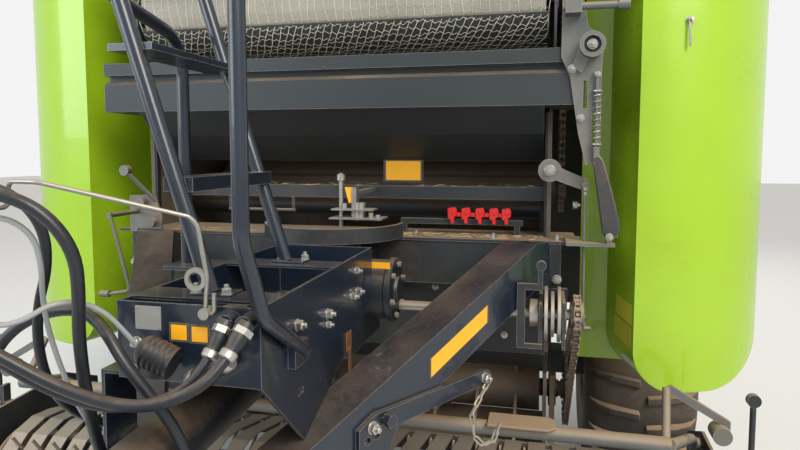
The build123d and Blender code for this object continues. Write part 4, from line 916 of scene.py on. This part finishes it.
class BALER_OT_fittings(bpy.types.Operator):
    """Ferrules, the boot, the coupling and the glands of the hoses."""

    bl_idname = "baler.fittings"
    bl_label = "Hose fittings"

    def execute(self, context):
        zinc, dark, clamps = bmesh.new(), bmesh.new(), bmesh.new()
        for route, radius in ((HOSE_A, 0.0125), (HOSE_B, 0.0115)):
            start, way = Vector(route[0]), Vector(route[1]) - Vector(route[0])
            add_lathe(dark, ((-0.036, radius), (-0.030, radius + 0.0012), (-0.004, radius + 0.0012),
                             (0.004, radius - 0.001), (0.012, radius - 0.001)), start, way)
            add_lathe(zinc, ((-0.026, radius + 0.004), (-0.016, radius + 0.004)), start, way, 6)
            add_lathe(zinc, ((0.011, radius), (0.013, radius + 0.0012), (0.022, radius + 0.0012),
                             (0.024, radius - 0.001)), start, way)
        for route, radius in ((HOSE_A[::-1], 0.0142), (HOSE_B[::-1], 0.0132), (GREY_LEAD[::-1], 0.0092)):
            end, before = Vector(route[0]), Vector(route[1])
            add_lathe(zinc, ((-0.004, radius - 0.003), (0, radius), (0.018, radius), (0.020, radius - 0.001)),
                      end, end - before, 6)
        end, before = Vector(HOSE_C[0]), Vector(HOSE_C[1])
        add_lathe(zinc, ((-0.004, 0.011), (0, 0.0142), (0.018, 0.0142), (0.020, 0.013)), end, end - before, 6)
        a, b = Vector((0.084, -1.125, 1.100)), Vector((0.146, -1.125, 1.142))
        add_lathe(dark, ((0.008, 0.0142), (0.016, 0.0155), (0.056, 0.0155), (0.064, 0.0142)), a, b - a)
        for low, high in ((-0.001, 0.013), (0.060, 0.0765)):
            add_lathe(zinc, ((low, 0.0165), (low + 0.002, 0.0178), (high - 0.002, 0.0178), (high, 0.0165)),
                      a, b - a, 24)
        for k in range(5):
            add_lathe(dark, ((0.019 + 0.007 * k, 0.0162), (0.022 + 0.007 * k, 0.0168),
                             (0.025 + 0.007 * k, 0.0162)), a, b - a)
        boot, far = Vector((0.056, -1.127, 1.128)), Vector((0.008, -1.132, 1.149))
        folds = [(0.0, 0.0262)]
        for k in range(5):
            folds += [(0.006 + 0.009 * k, 0.0238), (0.0105 + 0.009 * k, 0.0258)]
        folds += [(0.054, 0.0215), (0.060, 0.014)]
        add_lathe(dark, folds, boot, far - boot, 28)
        new_piece(zinc, "hose_ferrules", "frame", "bolt_zinc")
        boots = new_piece(dark, "hose_boot", "frame", "black_plastic")
        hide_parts("couplings")
        for x, z in ((0.112, 1.119), (0.030, 1.135)):
            add_block(clamps, (x - 0.012, -1.122, z - 0.010), (x + 0.012, -1.100, z + 0.010))
        new_piece(clamps, "hose_clamps", "frame", "dark_paint")
        return {"FINISHED"}


class BALER_OT_net(bpy.types.Operator):
    """Threads of the net on its roll, and the core with its end caps."""

    bl_idname = "baler.net"
    bl_label = "Net"

    def execute(self, context):
        sizes = context.scene.baler_sizes
        bm, caps = bmesh.new(), bmesh.new()
        half = sizes.thread / 2
        steps, lengthwise = 48, 36
        count = round(2 * NET_HALF / sizes.net_pitch)
        for k in range(count + 1):
            x = -NET_HALF + 2 * NET_HALF * k / count
            line = []
            for n in range(steps + 1):
                turn = 2 * pi * n / steps
                sway = 0.0035 * sin(5 * turn + 1.7 * k) + 0.002 * sin(3 * turn + 0.9 * k)
                radius = NET_R + half * 1.2 + 0.0006 * sin(7 * turn + k)
                line.append((x + sway, *around(*NET_AXIS, radius, turn)))
            add_sweep(bm, line, half, 4)
        for n in range(lengthwise):
            line = []
            for k in range(2 * count + 1):
                sway = radians(1.7) * (1 if k % 2 else -1) + radians(1.2) * sin(0.37 * k + n)
                line.append((-NET_HALF + NET_HALF * k / count,
                             *around(*NET_AXIS, NET_R + half, 2 * pi * n / lengthwise + sway)))
            add_sweep(bm, line, half * 0.8, 3)
        new_piece(bm, "net_threads", "frame", "net_thread")
        for sign in (1, -1):
            add_lathe(caps, ((0, 0.0), (0.0, 0.046), (0.012, 0.046), (0.012, 0.030), (0.004, 0.030),
                             (0.004, 0.0)), (sign * 0.6225, *NET_AXIS), (sign, 0, 0), 28)
        new_piece(caps, "net_core", "frame", "type_plate")
        return {"FINISHED"}


def hull_line(stations, steps=90):
    """The closed line of a chain round (y, z, radius) stations."""
    points = sorted(around(y, z, r, 2 * pi * k / steps) for y, z, r in stations for k in range(steps))
    sides = []
    for order in (points, points[::-1]):
        side = []
        for p in order:
            while len(side) > 1 and ((side[-1][0] - side[-2][0]) * (p[1] - side[-2][1])
                                     <= (side[-1][1] - side[-2][1]) * (p[0] - side[-2][0])):
                side.pop()
            side.append(p)
        sides += side[:-1]
    return sides


def closed_runs(line):
    """The lengths of a closed line's stretches."""
    return [hypot(b[0] - a[0], b[1] - a[1]) for a, b in zip(line, line[1:] + line[:1])]


def even_points(line, count):
    """Points at even steps along a closed line."""
    runs = closed_runs(line)
    total = sum(runs)
    out, k, gone = [], 0, 0.0
    for n in range(count):
        want = total * n / count
        while gone + runs[k] < want:
            gone += runs[k]
            k += 1
        share = (want - gone) / runs[k]
        a, b = line[k], line[(k + 1) % len(line)]
        out.append((a[0] + (b[0] - a[0]) * share, a[1] + (b[1] - a[1]) * share))
    return out


def add_chain(bm, x, stations, pitch):
    """Adds a roller chain: pins with their rollers, and side plates in turn inside and outside."""
    line = hull_line(stations)
    pins = even_points(line, 2 * round(sum(closed_runs(line)) / pitch / 2))
    for k, (a, b) in enumerate(zip(pins, pins[1:] + pins[:1])):
        add_lathe(bm, ((-0.0046, 0.0065), (0.0046, 0.0065)), (x, *a), RIGHT, 10)
        outside = k % 2
        if outside:
            for end in (a, b):
                add_lathe(bm, ((-0.0098, 0.0032), (0.0098, 0.0032)), (x, *end), RIGHT, 6)
        run = hypot(b[0] - a[0], b[1] - a[1])
        way = ((b[0] - a[0]) / run, (b[1] - a[1]) / run)
        half = 0.0078
        outline = []
        for centre, start in ((a, 0.5), (b, -0.5)):
            for n in range(6):
                turn = pi * (start + n / 5)
                outline.append((centre[0] + half * (way[0] * cos(turn) - way[1] * sin(turn)),
                                centre[1] + half * (way[1] * cos(turn) + way[0] * sin(turn))))
        for sign in (1, -1):
            low = x + sign * (0.0072 if outside else 0.0048)
            add_outline(bm, outline, 0, low, low + sign * 0.0018)


def add_sprocket(bm, x, y, z, radius, pitch, width=0.008):
    """Adds a toothed wheel whose chain runs at the radius, with its hub."""
    teeth = round(2 * pi * radius / pitch)
    root, tip = radius - 0.0075, radius + 0.0045
    tooth = ((-0.30, root), (-0.12, tip), (0.12, tip), (0.30, root))
    outline = [around(y, z, r, 2 * pi * (k + turn) / teeth) for k in range(teeth) for turn, r in tooth]
    add_outline(bm, outline, 0, x - width / 2, x + width / 2)
    add_lathe(bm, ((-0.017, 0.030), (-0.016, 0.034), (0.016, 0.034), (0.017, 0.030)), (x, y, z), RIGHT, 24)
    add_bolt_ring(bm, (x + width / 2, y, z), 0.5 * radius, 4, 0.4, 0.011)


UPPER_STATIONS = [(*around(1.150, 1.530, 0.860, radians(a)), 0.077) for a in (125, 148, 171, 194)]
LOW_STATIONS = [(-0.345, 1.038, 0.045), (0.250, 0.620, 0.113)]
CHAIN_PITCH = 0.0254


class BALER_OT_chains(bpy.types.Operator):
    """Roller chains on toothed wheels, with their shafts."""

    bl_idname = "baler.chains"
    bl_label = "Drive chains"

    def execute(self, context):
        links, wheels = bmesh.new(), bmesh.new()
        for x, stations in ((0.662, UPPER_STATIONS), (0.689, LOW_STATIONS)):
            add_chain(links, x, stations, CHAIN_PITCH)
            for y, z, r in stations:
                add_sprocket(wheels, x, y, z, r, CHAIN_PITCH)
        for y, z, r in UPPER_STATIONS:
            add_lathe(wheels, ((0, 0.024), (0.024, 0.024)), (0.640, y, z), RIGHT)
        add_lathe(wheels, ((0, 0.026), (0.026, 0.026)), (0.664, 0.250, 0.620), RIGHT)
        chain = new_piece(links, "roller_chains", "frame", "dusty_sunlit_steel")
        new_piece(wheels, "chain_wheels", "frame", "worn_zinc_and_edge_glint")
        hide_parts("drive_chains")
        return {"FINISHED"}


RIM_SECTION = (
    (0.0455, -0.080), (0.075, -0.080), (0.075, 0.030), (0.084, 0.036), (0.142, 0.057), (0.152, 0.060),
    (0.188, 0.060), (0.197, 0.052), (0.197, -0.180), (0.200, -0.186), (0.214, -0.190), (0.218, -0.190),
    (0.218, 0.190), (0.212, 0.190), (0.199, 0.188), (0.197, 0.180), (0.197, 0.078), (0.190, 0.070),
    (0.152, 0.068), (0.142, 0.065), (0.084, 0.084), (0.075, 0.090), (0.075, 0.136), (0.071, 0.140),
    (0.0455, 0.140),
)


class BALER_OT_rims(bpy.types.Operator):
    """Dished rims with hub caps, nuts and valves."""

    bl_idname = "baler.rims"
    bl_label = "Rims"

    def execute(self, context):
        for side, sign in SIDES:
            rim, nuts = spun(RIM_SECTION, 56), bmesh.new()
            bmesh.ops.translate(rim, vec=AXLE, verts=rim.verts)
            mirrored(rim, sign)
            rim = new_piece(rim, f"rim_dish_{side}", f"wheel_{side}", "rim_paint")
            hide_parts(f"rim_{side}")
            add_bolt_ring(nuts, AXLE + Vector((0.0765, 0, 0)), 0.112, 8, 0, 0.024, 0.5)
            add_lathe(nuts, ((0.0, 0.050), (0.010, 0.050), (0.014, 0.046), (0.034, 0.042), (0.040, 0.036),
                             (0.040, 0)), AXLE + Vector((0.140, 0, 0)), RIGHT, 28)
            valve = [AXLE + Vector(p) for p in ((0.074, 0.178, 0), (0.100, 0.178, 0), (0.124, 0.168, 0))]
            add_sweep(nuts, rounded_line(valve, 0.012), 0.0045, 8)
            mirrored(nuts, sign)
            new_piece(nuts, f"wheel_nuts_{side}", f"wheel_{side}", "bolt_zinc")
        return {"FINISHED"}


LAMP_INNER, LAMP_SPLIT, LAMP_OUTER = 0.960, 1.020, 1.140
LAMP_RIBS = 9
LAMP_RIB_PITCH = 0.009


class BALER_OT_lamps(bpy.types.Operator):
    """Rear lamp units with ribbed lenses."""

    bl_idname = "baler.lamps"
    bl_label = "Rear lamps"

    def execute(self, context):
        bodies, red, amber = bmesh.new(), bmesh.new(), bmesh.new()
        for sign in (1, -1):
            for bm, a, b in ((red, LAMP_INNER, LAMP_SPLIT), (amber, LAMP_SPLIT, LAMP_OUTER)):
                low, high = sorted((sign * a, sign * b))
                add_block(bm, (low + 0.005, 2.274, 1.117), (high - 0.003, 2.284, 1.203), 0.003)
                for k in range(LAMP_RIBS):
                    z = 1.124 + LAMP_RIB_PITCH * k
                    add_block(bm, (low + 0.009, 2.283, z - 0.0022), (high - 0.007, 2.2865, z + 0.0022), 0.001)
            low, high = sorted((sign * LAMP_INNER, sign * LAMP_OUTER))
            add_block(bodies, (low, 2.260, 1.110), (high, 2.276, 1.210), 0.004)
        body = new_piece(bodies, "lamp_bodies", "tailgate", "black_plastic")
        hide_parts("rear_lamps")
        new_piece(red, "lamp_lenses_red", "tailgate", "lamp_red")
        new_piece(amber, "lamp_lenses_amber", "tailgate", "lamp_amber")
        return {"FINISHED"}


class BALER_OT_gearbox(bpy.types.Operator):
    """Ribs, covers and plugs of the gearbox and the drive shaft's guard."""

    bl_idname = "baler.gearbox"
    bl_label = "Gearbox"

    def execute(self, context):
        bm, zinc, guard = bmesh.new(), bmesh.new(), bmesh.new()
        rib = 0.004  # half of its thickness
        for k in range(7):
            x = -0.126 + 0.042 * k
            if abs(x) > 0.075:
                add_block(bm, (x - rib, -0.552, 0.964), (x + rib, -0.540, 1.066))
            add_block(bm, (x - rib, -0.470, 1.084), (x + rib, -0.462, 1.172))
        add_lathe(bm, ((0, 0.080), (0.004, 0.084), (0.016, 0.084), (0.019, 0.080), (0.019, 0.034),
                       (0.026, 0.032), (0.026, 0)), (0.211, -0.385, 1.090), RIGHT, 36)
        add_bolt_ring(zinc, (0.230, -0.385, 1.090), 0.066, 6, 0.3, 0.013)
        add_lathe(zinc, ((0, 0.012), (0.012, 0.012), (0.014, 0.010)), (0.060, -0.400, 1.180), UP, 6)
        fall = 0.0508  # of the drive shaft, metre for metre
        for k in range(5):
            y = -0.640 - 0.020 * k
            add_lathe(guard, ((0, 0.0525), (0.004, 0.0600), (0.010, 0.0600), (0.014, 0.0525)),
                      (0, y, 0.990 + (y + 0.610) * fall), (0, -1, -fall), 28)
        new_piece(bm, "gearbox_ribs", "frame", "gear_paint")
        new_piece(zinc, "gearbox_plugs", "frame", "bolt_zinc")
        new_piece(guard, "shaft_guard_folds", "frame", "black_plastic")
        return {"FINISHED"}


def add_link_chain(bm, points, wire=0.0026, length=0.027, width=0.009):
    """Adds a chain of welded links along points, each turned a quarter from the last."""
    line = [Vector(p) for p in points]
    stops = []
    for a, b in zip(line, line[1:]):
        count = max(1, round((b - a).length / (length - 2 * wire)))
        stops += [(a + (b - a) * (k + 0.5) / count, (b - a).normalized()) for k in range(count)]
    for n, (centre, way) in enumerate(stops):
        side = way.cross(Vector((0.3, -1, 0.1))).normalized()
        if n % 2:
            side = way.cross(side).normalized()
        ring = []
        for k in range(12):
            turn = 2 * pi * k / 12
            along = (length / 2 - width / 2) * (1 if cos(turn) > 0 else -1) + width / 2 * cos(turn)
            ring.append(centre + way * along + side * width / 2 * sin(turn))
        add_sweep(bm, ring + [ring[0]], wire, 6)


class BALER_OT_clips(bpy.types.Operator):
    """Red hooked clips in a row."""

    bl_idname = "baler.clips"
    bl_label = "Red clips"

    def execute(self, context):
        bm = bmesh.new()
        for x in (0.345, 0.385, 0.425, 0.465, 0.500):
            add_outline(bm, [(x - 0.013, 1.258), (x - 0.005, 1.256), (x - 0.005, 1.244), (x + 0.005, 1.244),
                             (x + 0.005, 1.262), (x + 0.013, 1.266), (x + 0.013, 1.284), (x + 0.008, 1.291),
                             (x - 0.013, 1.288)], 1, -0.1760, -0.1600, 0.0012)
            add_lathe(bm, ((0, 0.0058), (0.0022, 0.0050)), (x + 0.002, -0.1760, 1.276), FRONT, 14)
        for low, high in ((0.358, 0.372), (0.398, 0.412), (0.438, 0.452), (0.478, 0.487)):
            add_block(bm, (low, -0.1700, 1.264), (high, -0.1640, 1.276), 0.0008)
        clips = new_piece(bm, "red_hooks", "frame", "red_plastic")
        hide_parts("red_clips")
        return {"FINISHED"}


class BALER_OT_posts(bpy.types.Operator):
    """Folded posts between the chamber's walls and the hoods, and strips that close the walls' gaps."""

    bl_idname = "baler.posts"
    bl_label = "Side posts"

    def execute(self, context):
        bm, seals = bmesh.new(), bmesh.new()
        for sign in (1, -1):
            side = bmesh.new()
            add_outline(side, [(0.624, 0.795), (0.772, 0.795), (0.772, 0.840), (0.766, 0.840), (0.766, 0.801),
                               (0.630, 0.801), (0.630, 0.840), (0.624, 0.840)], 2, 0.800, 2.240)
            for y, z, r in UPPER_STATIONS:
                add_lathe(side, ((0, 0.058), (0.006, 0.058), (0.008, 0.044), (0.018, 0.040), (0.018, 0)),
                          (0.6225, y, z), RIGHT, 24)
                add_bolt_ring(side, (0.6285, y, z), 0.050, 4, pi / 4, 0.010)
            mirrored(side, sign)
            join(bm, side)
            for inner, y, top in ((0.6045, -0.188, 1.560), (0.592, -0.040, 1.575)):
                low, high = sorted((sign * inner, sign * 0.6118))
                add_block(seals, (low, y, 1.215), (high, y + 0.018, top), 0)
        new_piece(bm, "side_posts", "frame", "frame_paint")
        new_piece(seals, "wall_seals", "frame", "rubber")
        return {"FINISHED"}


class BALER_OT_trim(bpy.types.Operator):
    """Small parts: the hanging chain, springs, the brake's grip, the tag, a hood pin and reflectors."""

    bl_idname = "baler.trim"
    bl_label = "Small parts"

    def execute(self, context):
        zinc, lever, copper, wedge, pin, plate, eyes = (bmesh.new() for _ in range(7))
        add_link_chain(zinc, [on_beam(0.770, 0.915, 0.016), (0.452, -0.590, 0.860), (0.458, -0.586, 0.806),
                              (0.478, -0.580, 0.786), (0.499, -0.560, 0.790), (0.511, -0.545, 0.822)])
        spring = []
        for k in range(97):
            turn = 2 * pi * k / 12
            spring.append((0.728 + 0.010 * cos(turn), -0.318 + 0.010 * sin(turn), 1.475 + 0.120 * k / 96))
        add_sweep(zinc, spring, 0.0016, 6)
        for z in (1.468, 1.600):
            add_lathe(zinc, ((0, 0.013), (0.004, 0.013)), (0.728, -0.318, z), UP, 16)
        for z in (1.000, 1.020, 1.340, 1.352):
            y = -0.300 + (z - 0.993) / 0.371 * 0.016
            add_lathe(zinc, ((0, 0.0072), (0.007, 0.0072)), (0.706, y, z), UP, 6)
        new_piece(zinc, "chain_and_springs", "frame", "zinc")
        add_outline(lever, [(0.720, 1.436), (0.733, 1.444), (0.746, 1.430), (0.775, 1.330), (0.790, 1.268),
                            (0.786, 1.240), (0.764, 1.230), (0.748, 1.246), (0.740, 1.300)], 1, -0.327, -0.309,
                    0.003)
        new_piece(lever, "brake_lever_grip", "frame", "dark_paint")
        add_block(copper, (0.188, -0.690, 1.016), (0.1905, -0.655, 1.056), 0.0005)
        add_block(copper, (0.1905, -0.680, 0.905), (0.1925, -0.664, 1.020), 0.0005)
        new_piece(copper, "copper_tag", "frame", "copper")
        add_bolt(pin, (0.962, -0.1915, 1.790), (0.23, -0.97, 0), 0.016)
        add_lathe(pin, ((0, 0.0030), (0.060, 0.0030), (0.064, 0.0020)), (0.9600, -0.2010, 1.786),
                  (0.05, -0.05, -1), 8)
        new_piece(pin, "hood_pin", "hood_right", "zinc")
        add_outline(plate, [(0.478, -0.486), (0.622, -0.486), (0.640, -0.470), (0.640, -0.424), (0.622, -0.412),
                            (0.478, -0.412)], 2, 0.7875, 0.7935, 0.001)
        new_piece(plate, "guard_plate", "crop_guard", "dusty_sunlit_steel")
        for x in (-0.860, 0.860):
            add_lathe(eyes, ((0, 0.0340), (0.005, 0.0340), (0.006, 0.0300), (0.0085, 0.0280), (0.0085, 0)),
                      (x, 2.2605, 1.160), BACK, 28)
        new_piece(eyes, "reflectors", "tailgate", "lamp_red")
        add_outline(wedge, [(0.063, 1.353), (0.084, 1.353), (0.084, 1.311), (0.075, 1.308)], 1,
                    -0.3085, -0.2960, 0.0008)
        new_piece(wedge, "trip_wedge", "frame", "sign_yellow")
        return {"FINISHED"}


SHADE_SHEET_RADII = (0.156, 0.160)
SHADE_SHEET_START, SHADE_SHEET_STEP, SHADE_SHEET_STEPS = 212, 3.2, 22  # the shade sheet's arc, in degrees


class BALER_OT_net_shade_sheet(bpy.types.Operator):
    """A dark sheet under the net roll that paints the shade of its underside, with the net drawn over it."""

    bl_idname = "baler.net_cover"
    bl_label = "Net shade sheet"

    def execute(self, context):
        shade_sheet, bm = bmesh.new(), bmesh.new()
        turns = [radians(SHADE_SHEET_START + SHADE_SHEET_STEP * k) for k in range(SHADE_SHEET_STEPS)]
        (a0, b0), (a1, b1) = [[[shade_sheet.verts.new((x, *around(*NET_AXIS, r, t))) for t in turns]
                               for x in (-NET_HALF, NET_HALF)] for r in SHADE_SHEET_RADII]
        for one, two in ((a0, b0), (a1, b1), (a0, a1), (b0, b1)):
            for k in range(len(turns) - 1):
                shade_sheet.faces.new((one[k], one[k + 1], two[k + 1], two[k]))
        for k in (0, -1):
            shade_sheet.faces.new((a0[k], b0[k], b1[k], a1[k]))
        # the dark sheet is painted shade on the roll's underside
        new_piece(shade_sheet, "roll_underside_shade_sheet", "frame", "painted_roll_shade")
        half = context.scene.baler_sizes.thread / 2 * 1.3
        columns, rows, reach, limit = 54, 9, 0.604, 0.606
        for k in range(columns + 1):
            line = []
            for n in range(19):
                x = -reach + 2 * reach * k / columns + 0.0016 * sin(0.8 * n + 1.9 * k) + 0.030 - 0.0050 * n
                line.append((max(-limit, min(limit, x)),
                             *around(*NET_AXIS, 0.1615 + 0.0006 * sin(1.3 * n + k), radians(214 + 3.6 * n))))
            add_sweep(bm, line, half, 4)
        for n in range(rows):
            line = []
            for k in range(2 * columns + 1):
                t = radians(216 + 7.0 * n + 1.6 * sin(0.55 * k + 2.1 * n) + (1.3 if k % 2 else -1.3))
                line.append((-reach + reach * k / columns, *around(*NET_AXIS, 0.1618, t)))
            add_sweep(bm, line, half * 0.6, 4)
        new_piece(bm, "net_over_shade_sheet", "frame", "net_thread")
        return {"FINISHED"}


class BALER_OT_debris(bpy.types.Operator):
    """Dry straw and chaff on the ledges."""

    bl_idname = "baler.debris"
    bl_label = "Straw"

    amount: bpy.props.IntProperty(name="Amount", description="How many stalks lie about", min=0, default=420)

    def execute(self, context):
        ledges = (
            (-0.66, 0.66, -0.255, -0.180, 1.2135), (0.10, 0.60, -0.255, -0.170, 1.2135),
            (-0.64, 0.64, -0.290, -0.210, 1.6850), (-0.130, 0.130, -0.450, -0.280, 1.1805),
            (0.00, 0.170, -0.700, -0.520, 1.0935), (-0.58, 0.58, -0.160, 0.050, 1.3480),
        )
        rng = random.Random(11)
        bm = bmesh.new()
        for n in range(self.amount):
            x0, x1, y0, y1, z = ledges[n % len(ledges)]
            x, y = rng.uniform(x0, x1), rng.uniform(y0, y1)
            turn, size = rng.uniform(0, pi), rng.uniform(0.008, 0.036)
            rise = rng.uniform(-0.04, 0.12) * size
            a = Vector((x - cos(turn) * size / 2, y - sin(turn) * size / 2, z + 0.0012))
            b = Vector((x + cos(turn) * size / 2, y + sin(turn) * size / 2, z + 0.0014 + max(rise, 0)))
            add_sweep(bm, [a, (a + b) / 2 + Vector((0, 0, 0.0006)), b], rng.uniform(0.0006, 0.0013), 4)
        new_piece(bm, "straw", "frame", "straw")
        return {"FINISHED"}


FLOOR_HALF = 30


class BALER_OT_stage(bpy.types.Operator):
    """Floor, backdrop, lamps and camera."""

    bl_idname = "baler.stage"
    bl_label = "Stage"

    def execute(self, context):
        view = context.scene.baler_view
        self.lay_floor()
        self.set_world(context)
        daylight = self.add_lamp("daylight", "SUN", (3.4, -4.2, 5.6), (0, 0, 0), 1.5, (1.0, 0.94, 0.85))
        daylight.angle = radians(18)
        for name, place, size, power, tint in (
            ("key", (4.2, -5.0, 5.2), 3.5, 1.4, (1.0, 0.95, 0.87)),
            ("fill", (-4.6, -4.4, 3.6), 4.0, 1.0, (0.80, 0.92, 1.0)),
            ("rear", (0.5, 7.0, 5.0), 4.0, 0.7, (1.0, 1.0, 1.0)),
        ):
            self.add_lamp(name, "AREA", place, (0, 0, 1.1), view.sun * power, tint).size = size
        camera = bpy.data.cameras.new("photo_camera")
        camera.sensor_width = 36
        camera.lens = view.lens
        camera.shift_y = view.shift
        camera.clip_start = 0.02
        eye = add_object("photo_camera", camera)
        eye.location = view.eye
        eye.rotation_euler = (pi / 2 - view.pitch, 0, view.yaw)
        context.scene.camera = eye
        context.scene.view_settings.view_transform = "Standard"
        return {"FINISHED"}

    def lay_floor(self):
        """A wide pale floor."""
        bm = bmesh.new()
        bmesh.ops.create_grid(bm, x_segments=1, y_segments=1, size=FLOOR_HALF)
        mesh = bpy.data.meshes.new("floor")
        bm.to_mesh(mesh)
        bm.free()
        material = bpy.data.materials.new("floor_paint")
        material.use_nodes = True
        shader = material.node_tree.nodes["Principled BSDF"]
        shader.inputs["Base Color"].default_value = (0.72, 0.71, 0.69, 1)
        shader.inputs["Roughness"].default_value = 0.85
        mesh.materials.append(material)
        floor = add_object("floor", mesh)

    def set_world(self, context):
        """Soft light from all round, before a white backdrop that the eye, metal and glass see."""
        world = context.scene.world = bpy.data.worlds.new("studio")
        world.use_nodes = True
        tree = world.node_tree
        light = tree.nodes["Background"]
        feed(tree, light.inputs["Color"], (0.86, 0.88, 0.92))
        feed(tree, light.inputs["Strength"], 0.50)
        backdrop = add_node(tree, "Background", Color=(0.90, 0.90, 0.90), Strength=1.0)
        ray = add_node(tree, "LightPath").outputs
        seen = math_node(tree, "ADD", ray["Is Camera Ray"], ray["Is Glossy Ray"])
        seen = math_node(tree, "ADD", seen, ray["Is Transmission Ray"], clamp=True)
        blend = add_node(tree, "MixShader", Fac=seen)
        feed(tree, blend.inputs[1], light.outputs[0])
        feed(tree, blend.inputs[2], backdrop.outputs[0])
        feed(tree, tree.nodes["World Output"].inputs["Surface"], blend.outputs[0])

    def add_lamp(self, name, kind, place, target, power, tint):
        """A lamp that looks from its place at a target."""
        lamp = bpy.data.lights.new(name, kind)
        lamp.energy = power
        lamp.color = tint
        obj = add_object(name, lamp)
        obj.location = place
        obj.rotation_euler = (Vector(target) - Vector(place)).to_track_quat("-Z", "Y").to_euler()
        return lamp


OPERATORS = (
    BALER_OT_finishes, BALER_OT_cords, BALER_OT_side_hoods, BALER_OT_gate_hoods, BALER_OT_tyres, BALER_OT_signs,
    BALER_OT_bolts, BALER_OT_fittings, BALER_OT_net, BALER_OT_net_shade_sheet, BALER_OT_chains, BALER_OT_rims,
    BALER_OT_lamps, BALER_OT_gearbox, BALER_OT_clips, BALER_OT_posts, BALER_OT_trim, BALER_OT_debris,
    BALER_OT_stage,
)


class BALER_PT_panel(bpy.types.Panel):
    """Lists the dressing steps."""

    bl_idname = "BALER_PT_panel"
    bl_label = "Baler"
    bl_space_type = "VIEW_3D"
    bl_region_type = "UI"
    bl_category = "Baler"

    def draw(self, context):
        for operator in OPERATORS:
            self.layout.operator(operator.bl_idname)


CLASSES = (BALER_PG_finish, BALER_PG_sizes, BALER_PG_view, *OPERATORS, BALER_PT_panel)


def register():
    """Makes the classes and the scene's settings known."""
    for cls in CLASSES:
        bpy.utils.register_class(cls)
    bpy.types.Scene.baler_finish = bpy.props.PointerProperty(type=BALER_PG_finish)
    bpy.types.Scene.baler_sizes = bpy.props.PointerProperty(type=BALER_PG_sizes)
    bpy.types.Scene.baler_view = bpy.props.PointerProperty(type=BALER_PG_view)


def unregister():
    """Takes them away again."""
    del bpy.types.Scene.baler_view
    del bpy.types.Scene.baler_sizes
    del bpy.types.Scene.baler_finish
    for cls in reversed(CLASSES):
        bpy.utils.unregister_class(cls)


def main():
    """Builds the whole dressing."""
    register()
    for operator in OPERATORS:
        group, action = operator.bl_idname.split(".")
        getattr(getattr(bpy.ops, group), action)()


if __name__ == "__main__":
    main()
